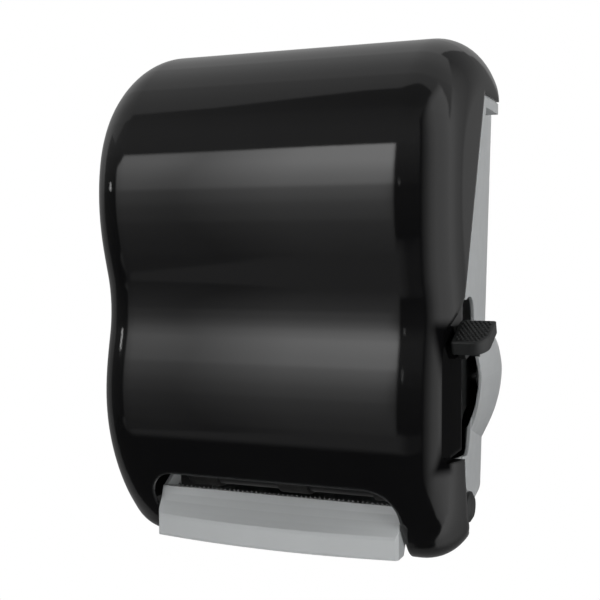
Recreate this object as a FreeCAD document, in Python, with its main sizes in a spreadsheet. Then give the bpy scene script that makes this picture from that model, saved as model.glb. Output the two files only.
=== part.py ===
import FreeCAD, Part
import math
import operator
import os

import Sketcher

# Lever roll towel dispenser for a wall.
# Frame: +X to the user's right, -Y out of the wall towards the user, +Z up, millimetres.
# The origin is the middle of the four wall screws, on the back face of the chassis (Y = 0).

Vector = FreeCAD.Vector
Rotation = FreeCAD.Rotation
Placement = FreeCAD.Placement

doc = FreeCAD.newDocument("lever_towel_dispenser")
sheet = doc.addObject("Spreadsheet::Sheet", "Sizes")

# Driving dimensions, in millimetres and degrees. Places called "..._up" are heights above the
# lowest edge of the cover, and places called "..._out" are distances out of the wall.
DIMENSIONS = [
    ("overall_height", 419.4, "cover, lowest to highest edge"),
    ("overall_depth", 235.0, "wall to the front of the upper bulge"),
    ("cover_half_width", 153.0, "middle to the outside of the cover's side"),
    ("cover_wall", 2.8, "thickness of the cover"),
    ("corner_radius", 40.0, "cover's rounded edge between its front and its sides"),
    ("toe_radius", 42.0, "bend between the cover's front and its underside"),
    ("cover_top_rear_out", 63.0, "rear edge of the cover's top"),
    ("step_out", 119.6, "front end of the chassis shelf"),
    ("step_up", 372.4, "underside of the cover above the chassis shelf"),
    ("split_mid_out", 182.6, "cover's rear edge at mid height"),
    ("split_mid_up", 214.0, "height of that point"),
    ("split_low_out", 176.5, "cover's rear edge above the hinge"),
    ("split_low_up", 71.0, "height of that point"),
    ("split_gap", 1.2, "gap between the cover's edge and the chassis rim"),
    ("hinge_out", 124.0, "cover hinge"),
    ("hinge_up", 38.0, "cover hinge"),
    ("hinge_pin_radius", 4.0, "cover hinge pin"),
    ("hinge_cap_radius", 12.4, "round cap over the cover hinge"),
    ("arch_half_width", 106.5, "towel opening in the cover"),
    ("arch_top_up", 64.0, "top of the towel opening"),
    ("arch_corner", 24.0, "rounded corners of the towel opening"),
    ("chassis_wall", 3.0, "thickness of the chassis"),
    ("chassis_taper", 0.105, "sideways growth of the chassis per millimetre out of the wall"),
    ("chassis_high_corner", 32.0, "rounded long edges at the chassis's top"),
    ("chassis_low_corner", 20.0, "rounded long edges at the chassis's bottom"),
    ("chassis_back_inset", 23.2, "how much narrower than the cover the chassis is at the wall"),
    ("chassis_lean", 0.0226, "sideways growth of the chassis per millimetre of height"),
    ("chassis_base_up", 11.7, "underside of the chassis"),
    ("chassis_floor_out", 72.0, "front edge of the chassis floor"),
    ("chassis_top_drop", 19.0, "top of the chassis at the wall, below the cover's top"),
    ("rim_width", 9.0, "raised rim along the cover's edge"),
    ("screw_pitch_x", 150.0, "wall screws, side to side"),
    ("screw_pitch_z", 240.0, "wall screws, top to bottom"),
    ("screw_hole_radius", 3.0, "wall screw holes"),
    ("recess_floor_inset", 11.0, "depth of the lever recess in the cover's side"),
    ("slot_top_up", 209.0, "top of the lever slot"),
    ("slot_bottom_up", 88.0, "bottom of the lever slot"),
    ("slot_rear_out", 88.0, "rear edge of the lever slot"),
    ("pivot_out", 58.0, "lever pivot"),
    ("pivot_up", 137.7, "lever pivot"),
    ("pivot_pin_radius", 5.0, "lever pivot pin"),
    ("lever_travel", 30.0, "lever stroke in degrees"),
    ("running_gap", 0.05, "radial clearance of every shaft in its hole"),
    ("joint_gap", 0.4, "gap between pieces that slide past each other"),
    ("frame_inner", 105.0, "middle to the inner face of a side frame"),
    ("frame_wall", 3.0, "thickness of a side frame"),
    ("drive_out", 140.0, "drive roller"),
    ("drive_up", 57.7, "drive roller"),
    ("drive_radius", 17.0, "drive roller over its rubber bands"),
    ("band_wall", 2.5, "thickness of a rubber band"),
    ("band_width", 26.0, "width of a rubber band"),
    ("band_count", 3.0, "rubber bands on the drive roller"),
    ("press_radius", 11.0, "pressure roller"),
    ("press_angle", 60.0, "pressure roller, degrees above the front of the drive roller"),
    ("paper_gap", 0.4, "space between the rollers"),
    ("shaft_radius", 4.0, "roller shafts"),
    ("gear_module", 1.5, "size of the gear teeth"),
    ("gear_width", 5.0, "width of the gears"),
    ("backlash", 0.35, "play between meshing teeth"),
    ("sector_teeth", 112.0, "lever sector, teeth of the full circle"),
    ("pinion_teeth", 16.0, "small wheel of the idler"),
    ("idler_teeth", 36.0, "large wheel of the idler"),
    ("roller_teeth", 18.0, "wheel on the drive roller"),
    ("roll_radius", 101.5, "largest towel roll"),
    ("roll_half_length", 101.5, "half the length of a towel roll"),
    ("roll_out", 118.0, "roll centre"),
    ("roll_up", 282.0, "roll centre"),
    ("core_radius", 18.5, "hub that enters the roll's core"),
    ("nose_front_out", 206.0, "front of the chute's nose, at its middle"),
    ("nose_bow", 9.5, "how far the chute's ends stand back"),
    ("nose_low_up", 8.5, "lower edge of the chute"),
    ("nose_crease_up", 26.5, "crease of the chute"),
    ("nose_crest_up", 48.0, "upper edge of the chute"),
    ("nose_crest_out", 186.0, "upper edge of the chute"),
    ("nose_sag", 1.6, "how far the chute's upper face sags"),
    ("nose_wall", 2.6, "thickness of the chute"),
    ("tooth_pitch", 4.0, "teeth of the tear bar"),
    ("lock_out", 87.0, "lock in the cover's top"),
    ("lock_radius", 9.0, "outside of the lock's barrel"),
    ("small_screw_radius", 2.0, "screws that hold the inner pieces"),
    ("paddle_out", 167.5, "rear edge of the lever's paddle"),
    ("paddle_up", 193.2, "rear edge of the paddle's top"),
    ("paddle_length", 37.5, "paddle, front to back"),
    ("paddle_width", 27.0, "paddle, side to side"),
    ("paddle_wall", 10.5, "paddle thickness"),
    ("paddle_tilt", 23.0, "forward tilt of the paddle in degrees"),
    ("paddle_stand", 20.0, "paddle's outer edge beyond the cover's side"),
]


class Size:
    """A number of the sheet together with the expression that gives it."""

    def __init__(self, value, text):
        self.value = value
        self.text = text

    def __add__(self, other):
        return joined(self, operator.add, "+", other)

    def __radd__(self, other):
        return joined(other, operator.add, "+", self)

    def __sub__(self, other):
        return joined(self, operator.sub, "-", other)

    def __rsub__(self, other):
        return joined(other, operator.sub, "-", self)

    def __mul__(self, other):
        return joined(self, operator.mul, "*", other)

    def __rmul__(self, other):
        return joined(other, operator.mul, "*", self)

    def __truediv__(self, other):
        return joined(self, operator.truediv, "/", other)

    def __neg__(self):
        return joined(-1.0, operator.mul, "*", self)


def as_size(thing):
    if isinstance(thing, Size):
        return thing
    return Size(float(thing), "%.6f" % thing)


def joined(left, work, sign, right):
    left, right = as_size(left), as_size(right)
    return Size(work(left.value, right.value), "(%s %s %s)" % (left.text, sign, right.text))


def sine(degrees):
    degrees = as_size(degrees)
    return Size(math.sin(math.radians(degrees.value)), "sin(%s * 1deg)" % degrees.text)


def cosine(degrees):
    degrees = as_size(degrees)
    return Size(math.cos(math.radians(degrees.value)), "cos(%s * 1deg)" % degrees.text)


def root(size):
    size = as_size(size)
    return Size(math.sqrt(size.value), "sqrt(%s)" % size.text)


class Sizes:
    pass


S = Sizes()
for row, (alias, value, meaning) in enumerate(DIMENSIONS, start=1):
    sheet.set("A%d" % row, str(value))
    sheet.setAlias("A%d" % row, alias)
    sheet.set("B%d" % row, meaning)
    setattr(S, alias, Size(value, "Sizes." + alias))
doc.recompute()


def up(height):
    """Z of a height above the lowest edge of the cover."""
    return height - S.overall_height / 2


def out(distance):
    """Y of a distance out of the wall."""
    return -distance


# ---------------------------------------------------------------- drawing helpers

parts = []


def bind(thing, prop, size):
    thing.setExpression(prop, as_size(size).text)


def new_body(label, x=0.0, y=0.0, z=0.0):
    body = doc.addObject("PartDesign::Body", label)
    body.Label = label
    bind(body, "Placement.Base.x", x)
    bind(body, "Placement.Base.y", y)
    bind(body, "Placement.Base.z", z)
    parts.append(body)
    return body


def new_feature(label, shape):
    feature = doc.addObject("Part::Feature", label)
    feature.Label = label
    feature.Shape = shape
    feature.Placement = Placement()
    parts.append(feature)
    return feature


def origin_item(body, role):
    for item in body.Origin.OriginFeatures:
        if item.Role == role:
            return item
    raise ValueError(role)


def new_sketch(body, name, role, offset=0.0):
    """A sketch on one of the body's origin planes, or that far along the plane's normal.

    XY_Plane draws in X and Y, XZ_Plane in X and Z (normal -Y), YZ_Plane in Y and Z (normal +X).
    """
    sketch = body.newObject("Sketcher::SketchObject", name)
    sketch.AttachmentSupport = [(origin_item(body, role), "")]
    sketch.MapMode = "FlatFace"
    bind(sketch, "AttachmentOffset.Base.z", offset)
    return sketch


def hold(sketch, kind, places, size):
    """Adds a dimension and binds it to the sheet."""
    size = as_size(size)
    index = sketch.addConstraint(Sketcher.Constraint(kind, *places, size.value))
    bind(sketch, "Constraints[%d]" % index, size)


def draw_polygon(sketch, points):
    points = [(as_size(a), as_size(b)) for a, b in points]
    corners = [Vector(a.value, b.value, 0) for a, b in points]
    lines = []
    for start, end in zip(corners, corners[1:] + corners[:1]):
        lines.append(sketch.addGeometry(Part.LineSegment(start, end)))
    for this, following in zip(lines, lines[1:] + lines[:1]):
        sketch.addConstraint(Sketcher.Constraint("Coincident", this, 2, following, 1))
    for line, (a, b) in zip(lines, points):
        hold(sketch, "DistanceX", (-1, 1, line, 1), a)
        hold(sketch, "DistanceY", (-1, 1, line, 1), b)


def draw_circle(sketch, a, b, radius):
    a, b, radius = as_size(a), as_size(b), as_size(radius)
    centre = Vector(a.value, b.value, 0)
    ring = sketch.addGeometry(Part.Circle(centre, Vector(0, 0, 1), radius.value))
    hold(sketch, "Radius", (ring,), radius)
    hold(sketch, "DistanceX", (-1, 1, ring, 3), a)
    hold(sketch, "DistanceY", (-1, 1, ring, 3), b)


def draw_small_hole(sketch, a, b, radius):
    """A screw hole. There are many of them, so each has eight sides."""
    corners = []
    for i in range(8):
        angle = 45.0 * i
        corners.append((a + radius * OCTAGON * cosine(angle), b + radius * OCTAGON * sine(angle)))
    draw_polygon(sketch, corners)


def pad(body, name, sketch, length, reverse=False):
    made = body.newObject("PartDesign::Pad", name)
    made.Profile = (sketch, [""])
    bind(made, "Length", length)
    made.Reversed = reverse
    body.Tip = made
    doc.recompute()
    return made


def pocket(body, name, sketch, length, reverse=False):
    """Cuts along the sketch's normal, or against it when reversed, and checks that it cut."""
    before = body.Shape.Volume
    made = body.newObject("PartDesign::Pocket", name)
    made.Profile = (sketch, [""])
    bind(made, "Length", length)
    made.Reversed = not reverse
    body.Tip = made
    doc.recompute()
    if not body.Shape.Volume < before - 1e-3:
        raise RuntimeError("%s cuts nothing" % name)
    return made


def edges_of(shape, wanted):
    return ["Edge%d" % (i + 1) for i, edge in enumerate(shape.Edges) if wanted(edge)]


def fillet(body, name, radius, wanted):
    base = body.Tip
    made = body.newObject("PartDesign::Fillet", name)
    made.Base = (base, edges_of(base.Shape, wanted))
    bind(made, "Radius", radius)
    body.Tip = made
    doc.recompute()
    return made


def along(axis):
    """Picks straight edges parallel to an axis."""

    def wanted(edge):
        if edge.Curve.TypeId != "Part::GeomLine":
            return False
        way = edge.Vertexes[-1].Point - edge.Vertexes[0].Point
        return way.Length > 0.1 and abs(way.normalize().dot(axis)) > 0.999

    return wanted


X_AXIS = Vector(1, 0, 0)
Y_AXIS = Vector(0, 1, 0)
Z_AXIS = Vector(0, 0, 1)

# From the middle of an octagon to its corner, as a share of the distance to its side.
OCTAGON = 1.0 / math.cos(math.pi / 8)


def turned(label, profile, y, z):
    """A piece turned about a line along X, from a half section given as (x, radius) points."""
    body = new_body(label, 0.0, y, z)
    section = new_sketch(body, label + "_section", "XY_Plane")
    draw_polygon(section, profile)
    made = body.newObject("PartDesign::Revolution", label + "_turn")
    made.Profile = (section, [""])
    made.ReferenceAxis = (section, ["H_Axis"])
    made.Angle = 360.0
    body.Tip = made
    return body


def plate(label, outline, x_low, thickness, holes=()):
    """A flat piece parallel to the cover's sides, with round holes given as (y, z, radius)."""
    body = new_body(label)
    shape = new_sketch(body, label + "_outline", "YZ_Plane", x_low)
    draw_polygon(shape, outline)
    pad(body, label + "_plate", shape, thickness)
    if holes:
        cuts = new_sketch(body, label + "_holes", "YZ_Plane", x_low)
        for y, z, radius in holes:
            draw_circle(cuts, y, z, radius)
        pocket(body, label + "_bores", cuts, thickness)
    return body


def prism(points, low, high):
    """A solid between two X planes with an outline given as (y, z) points."""
    face = Part.Face(Part.makePolygon([Vector(low, y, z) for y, z in points + points[:1]]))
    return face.extrude(Vector(high - low, 0, 0))


def shank(radius, length, start, way, sides=8):
    """A rod of few sides from a point along a direction, given the radius of its corners."""
    ring = []
    for i in range(sides + 1):
        angle = 2 * math.pi * i / sides
        ring.append(Vector(radius * math.cos(angle), radius * math.sin(angle), 0))
    made = Part.Face(Part.makePolygon(ring)).extrude(Vector(0, 0, length))
    made.transformShape(Placement(start, Rotation(Z_AXIS, way)).toMatrix(), True)
    return made


# ---------------------------------------------------------------- cover

# The cover's middle outline from its rear top edge to its toe, as shares of depth and height.
COVER_OUTLINE = [
    ("rear top", 0.247, 0.985),
    ("crown", 0.454, 1.000),
    ("shoulder", 0.754, 0.949),
    ("brow", 0.945, 0.836),
    ("bulge", 0.999, 0.701),
    ("below the bulge", 0.970, 0.580),
    ("waist", 0.925, 0.477),
    ("lower brow", 0.950, 0.377),
    ("lower bulge", 0.957, 0.263),
    ("chin", 0.891, 0.143),
    ("toe", 0.777, 0.049),
]
BEHIND = 40.0
LUG_X = S.cover_half_width - 26.5


def arc_between(start, way, end):
    """The circular arc that leaves start in a direction and reaches end, as three points with normals."""
    chord = end - start
    side = Vector(0, -way.z, way.y)
    reach = 2 * chord.dot(side)
    radius = chord.dot(chord) / reach
    centre = start + side * radius
    bulge = (start - centre).normalize() + (end - centre).normalize()
    middle = centre + bulge.normalize() * abs(radius)
    sign = -1.0 if radius > 0 else 1.0
    points = []
    for point in (start, middle, end):
        points.append((point, (centre - point).normalize() * sign))
    return points


def leaving(arc):
    """The direction at the end of an arc."""
    normal = arc[2][1]
    return Vector(0, -normal.z, normal.y)


def cover_line():
    """The outline as a chain of arcs that run into each other, two for each span and one for the toe."""
    depth, height = S.overall_depth.value, S.overall_height.value
    low = -height / 2
    knots = [Vector(0, -depth * a, low + height * b) for name, a, b in COVER_OUTLINE]
    curve = Part.BSplineCurve()
    curve.interpolate(knots)
    ways = [curve.tangent(curve.parameter(knot))[0].normalize() for knot in knots]
    arcs = []
    for p0, p1, t0, t1 in zip(knots, knots[1:], ways, ways[1:]):
        chord, both = p1 - p0, t0 + t1
        blunt = 2 * (1 - t0.dot(t1))
        lean = chord.dot(both)
        reach = chord.dot(chord) / (lean + math.sqrt(lean * lean + blunt * chord.dot(chord)))
        meet = (p0 + p1 + (t0 - t1) * reach) * 0.5
        arcs.append(arc_between(p0, t0, meet))
        arcs.append(arc_between(meet, leaving(arcs[-1]), p1))
    # The toe bends from the last direction of the chain to the level underside.
    end, way = knots[-1], leaving(arcs[-1])
    turn = math.acos(way.y)
    radius = S.toe_radius.value
    start = end + way * ((end.z - low - radius * (1 - math.cos(turn))) / -way.z)
    centre = start + Vector(0, -way.z, way.y) * radius
    toe = []
    for share in (1.0, 0.5, 0.0):
        normal = Vector(0, -math.sin(turn * share), -math.cos(turn * share))
        toe.append((centre + normal * radius, normal))
    arcs.append(toe)
    return arcs


def cover_wire(arcs, x, inset):
    """The closed outline at one X, set in from the middle outline and running back past the wall."""
    moved = [[Vector(x, p.y, p.z) - n * inset for p, n in arc] for arc in arcs]
    top, top_normal = moved[0][0], arcs[0][0][1]
    rear_top = top + Vector(0, top_normal.z, -top_normal.y) * ((BEHIND - top.y) / top_normal.z)
    bottom = moved[-1][2]
    rear_bottom = Vector(x, BEHIND, bottom.z)
    edges = [Part.makeLine(rear_top, top)]
    for arc in moved[:-1]:
        edges.append(Part.Arc(*arc).toShape())
    edges.append(Part.makeLine(moved[-2][2], moved[-1][0]))
    edges.append(Part.Arc(*moved[-1]).toShape())
    edges.append(Part.makeLine(bottom, rear_bottom))
    edges.append(Part.makeLine(rear_bottom, rear_top))
    return Part.Wire(edges)


def cover_outside(arcs):
    """The outer form, with round edges between its front and its sides."""
    half = S.cover_half_width.value
    block = Part.Face(cover_wire(arcs, -half, 0.0)).extrude(Vector(2 * half, 0, 0))

    def rounded(edge):
        box = edge.BoundBox
        return box.XLength < 1e-6 and box.YMin < BEHIND - 1.0

    picked = [edge for edge in block.Edges if rounded(edge)]
    return block.makeFillet(S.corner_radius.value, picked)


def cover_inside(arcs):
    """The space inside the wall. Its corners are two flat strips, so the wall is thicker there."""
    wall = S.cover_wall.value
    radius = S.corner_radius.value - wall
    flat = S.cover_half_width.value - S.corner_radius.value
    wires = []
    for side in (-1, 1):
        for angle in (90, 45, 0)[::-side]:
            turn = math.radians(angle)
            inset = wall + radius * (1 - math.cos(turn))
            wires.append(cover_wire(arcs, side * (flat + radius * math.sin(turn)), inset))
    return Part.makeLoft(wires, True, True)


def split_line(shift):
    """The cover's rear edge seen from the side, moved that far out of the wall."""
    names = [
        (S.cover_top_rear_out, S.step_up),
        (S.step_out, S.step_up),
        (S.split_mid_out, S.split_mid_up),
        (S.split_low_out + 4.0, S.slot_bottom_up),
        (S.split_low_out, S.split_low_up),
    ]
    return [(out(a).value - shift, up(b).value) for a, b in names]


def lever_recess(depth_from_side, margin):
    """The scoop in the cover's right side, as a solid that the cover loses."""
    high, low = up(S.slot_top_up).value + 5.0, up(S.slot_bottom_up).value
    front = out(S.split_mid_out).value - 30.0
    ramp = 38.0
    outline = [
        (60.0, high + margin),
        (out(S.split_mid_out).value + 2.0, high + margin),
        (front - margin, high - ramp + margin * 0.4),
        (front - 6.0 - margin, high - ramp - 24.0),
        (front - 5.0 - margin, low + 12.0),
        (front + 8.0 - margin * 0.4, low - margin),
        (60.0, low - margin),
    ]
    floor = S.cover_half_width.value - depth_from_side
    tall = 60.0
    return prism(outline, floor, floor + tall)


def make_front_cover():
    arcs = cover_line()
    wall = S.cover_wall.value
    half = S.cover_half_width.value
    outer = cover_outside(arcs)
    inner = cover_inside(arcs)
    floor = S.recess_floor_inset.value
    outer = outer.cut(lever_recess(floor, 0.0))
    inner = inner.cut(lever_recess(floor + wall, wall))
    shell = outer.cut(inner)

    # Everything behind the split line goes. The floor of the recess runs further back on the right.
    edge = split_line(0.0)
    hinge_y, hinge_z = out(S.hinge_out).value, up(S.hinge_up).value
    low = up(as_size(-20.0)).value
    high = up(S.overall_height + 20.0).value
    under_hinge = [
        (hinge_y - 40.0, hinge_z + 5.0),
        (hinge_y - 27.0, hinge_z - 13.0),
        (hinge_y - 16.0, hinge_z - 20.0),
        (hinge_y - 16.0, low),
        (BEHIND + 20.0, low),
        (BEHIND + 20.0, high),
        (edge[0][0], high),
    ]
    behind = prism(edge + under_hinge, -half - 20.0, half + 20.0)
    tongue_rear = out(S.split_mid_out).value + 37.0
    high_slot, low_slot = up(S.slot_top_up).value, up(S.slot_bottom_up).value
    side = half - floor
    gap = S.joint_gap.value
    keep = Part.makeBox(
        wall + 0.2, tongue_rear - edge[2][0] + 30.0, high_slot - low_slot - 2 * gap,
        Vector(side - wall - 0.1, edge[2][0] - 30.0, low_slot + gap))
    shell = shell.cut(behind.cut(keep))

    # The towel opening between the two cheeks.
    arch_x, arch_z = S.arch_half_width.value, up(S.arch_top_up).value
    front = -S.overall_depth.value - 20.0
    opening = Part.makeBox(2 * arch_x, BEHIND - front, arch_z - low, Vector(-arch_x, front, low))
    rounded = edges_of(opening, lambda e: along(Y_AXIS)(e) and e.Vertexes[0].Z > arch_z - 1)
    picked = [opening.Edges[int(name[4:]) - 1] for name in rounded]
    opening = opening.makeFillet(S.arch_corner.value, picked)
    shell = shell.cut(opening)
    solid = max(shell.Solids, key=lambda each: each.Volume)

    # Hinge lugs: plates inside the cheeks that reach back to the hinge pins.
    lug_x, lug_wall, lug_r = LUG_X.value, 3.5, 11.0
    for side in (-1, 1):
        x = lug_x if side > 0 else -lug_x - lug_wall
        arm = [
            (hinge_y - 4.0, hinge_z + lug_r - 0.7),
            (hinge_y - 50.0, hinge_z + 12.0),
            (hinge_y - 64.0, hinge_z - 2.0),
            (hinge_y - 44.0, hinge_z - 34.0),
            (hinge_y - 30.0, hinge_z - 30.0),
            (hinge_y - 7.0, hinge_z - lug_r + 2.5),
        ]
        lug = prism(arm, x, x + lug_wall)
        ring = Part.makeCylinder(lug_r, lug_wall, Vector(x, hinge_y, hinge_z), X_AXIS)
        lug = lug.fuse(ring).common(outer)
        bore = S.hinge_pin_radius.value + S.running_gap.value
        lug = lug.cut(Part.makeCylinder(bore, lug_wall, Vector(x, hinge_y, hinge_z), X_AXIS))
        solid = solid.fuse(lug)
    # Bore for the lock in the top.
    bore = S.lock_radius.value + S.joint_gap.value
    solid = solid.cut(Part.makeCylinder(bore, 60.0, Vector(0, out(S.lock_out).value, high - 60.0), Z_AXIS))
    return solid.removeSplitter()


new_feature("front_cover", make_front_cover())



# ---------------------------------------------------------------- chassis

PIVOT = (out(S.pivot_out), up(S.pivot_up))
DRIVE = (out(S.drive_out), up(S.drive_up))
HINGE = (out(S.hinge_out), up(S.hinge_up))
ROLL = (out(S.roll_out), up(S.roll_up))
CHASSIS_DEPTH = S.split_mid_out + 4.0
CHASSIS_LOW = up(S.chassis_base_up)
CHASSIS_HIGH = up(S.overall_height - S.chassis_top_drop)
SLOT_LOW, SLOT_HIGH = up(S.slot_bottom_up), up(S.slot_top_up)
HINGE_BOSS_END = S.cover_half_width - 11.0
EAR_WIDE = 16.0


def chassis_side(distance, z):
    """X of the chassis's outer side that far out of the wall, at one height."""
    at_wall = S.cover_half_width - S.chassis_back_inset
    return at_wall + S.chassis_lean * z + S.chassis_taper * distance


def chassis_frame(distance, inset):
    """Corners of the chassis's cross section that far out of the wall, as (x, z)."""
    low = CHASSIS_LOW + inset
    high = CHASSIS_HIGH + S.chassis_taper * 0.9 * distance - inset
    wide_low, wide_high = chassis_side(distance, low) - inset, chassis_side(distance, high) - inset
    return [(-wide_low, low), (wide_low, low), (wide_high, high), (-wide_high, high)]


def chassis_block():
    """The tray's outer form: a box between the wall and the front, cut by its four slanted sides."""
    rings = []
    for distance in (as_size(0.0), CHASSIS_DEPTH):
        corners = chassis_frame(distance, 0.0)
        rings.append([Vector(x.value, -distance.value, z.value) for x, z in corners])
    back, front = rings
    wide, deep, high = S.overall_height.value, CHASSIS_DEPTH.value, S.overall_height.value * 1.5
    solid = Part.makeBox(wide, deep, high, Vector(-wide / 2, -deep, -high / 2))
    for i in range(4):
        side = [back[i], back[i - 1], front[i - 1], front[i]]
        middle = (side[0] + side[1] + side[2] + side[3]) * 0.25
        outward = (side[1] - side[0]).cross(side[3] - side[0]).normalize()
        if outward.dot(Vector(middle.x, 0, middle.z)) < 0:
            outward = -outward
        broad = [middle + (corner - middle) * 2.0 for corner in side]
        solid = solid.cut(Part.Face(Part.makePolygon(broad + broad[:1])).extrude(outward * wide))
    block = doc.addObject("Part::Feature", "chassis_block")
    block.Shape = solid
    return block


def along_depth(high):
    """Picks the two long slanted edges of the chassis tray at its top or its bottom."""

    def wanted(edge):
        way = edge.Vertexes[-1].Point - edge.Vertexes[0].Point
        long = way.Length > 100.0 and abs(way.normalize().y) > 0.9
        return long and edge.Curve.TypeId == "Part::GeomLine" and (edge.BoundBox.ZMin > 0) == high

    return wanted


def front_limit():
    """Points of the chassis's front edge seen from the side, top to bottom."""
    gap = S.split_gap
    return [
        (out(S.cover_top_rear_out + 13.0), up(S.overall_height)),
        (out(S.cover_top_rear_out + 13.0), up(S.step_up) - gap),
        (out(S.step_out) + gap, up(S.step_up) - gap),
        (out(S.split_mid_out) + gap, up(S.split_mid_up)),
        (out(S.split_low_out + 4.0) + gap, SLOT_LOW),
        (out(S.split_low_out) + gap, up(S.split_low_up)),
        (HINGE[0] - 36.0, HINGE[1] + 21.0),
        (HINGE[0] - 21.0, HINGE[1] + 9.0),
        (HINGE[0] - 16.0, HINGE[1] - 8.0),
        (HINGE[0] - 6.0, HINGE[1] - 16.5),
        (HINGE[0] + 12.0, HINGE[1] - 13.5),
        (HINGE[0] + 20.0, HINGE[1] - 4.5),
        (out(S.chassis_floor_out + 16.0), HINGE[1] + 1.5),
        (out(S.chassis_floor_out), CHASSIS_LOW),
        (out(S.chassis_floor_out), CHASSIS_LOW - 30.0),
    ]


def screw_places():
    """Where the inner pieces are screwed to the back, as (x, z)."""
    x = S.frame_inner + S.frame_wall + 6.0
    places = []
    for z in (up(150.0), up(40.0)):
        places += [(x, z), (-x, z)]
    arm_x = S.frame_inner - 10.0
    for z in (ROLL[1] - 22.0, ROLL[1] + 22.0):
        places += [(arm_x, z), (-arm_x, z)]
    return places


def quarter(rear, level, long, tall):
    """A quarter of an ellipse from a level line to the slot's rear edge, which is tall away from it."""
    points = []
    for i in range(7):
        angle = 15.0 * i
        points.append((rear - long * (1 - sine(angle)), level + tall * (1 - cosine(angle))))
    return points


def softened(points):
    """Cuts each corner between the first and the last point twice, which leaves a rounder line."""
    for _ in range(2):
        cut = [points[0]]
        for (a, b), (c, d) in zip(points, points[1:]):
            cut.append((a * 0.75 + c * 0.25, b * 0.75 + d * 0.25))
            cut.append((a * 0.25 + c * 0.75, b * 0.25 + d * 0.75))
        points = cut + [points[-1]]
    return points


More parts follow.
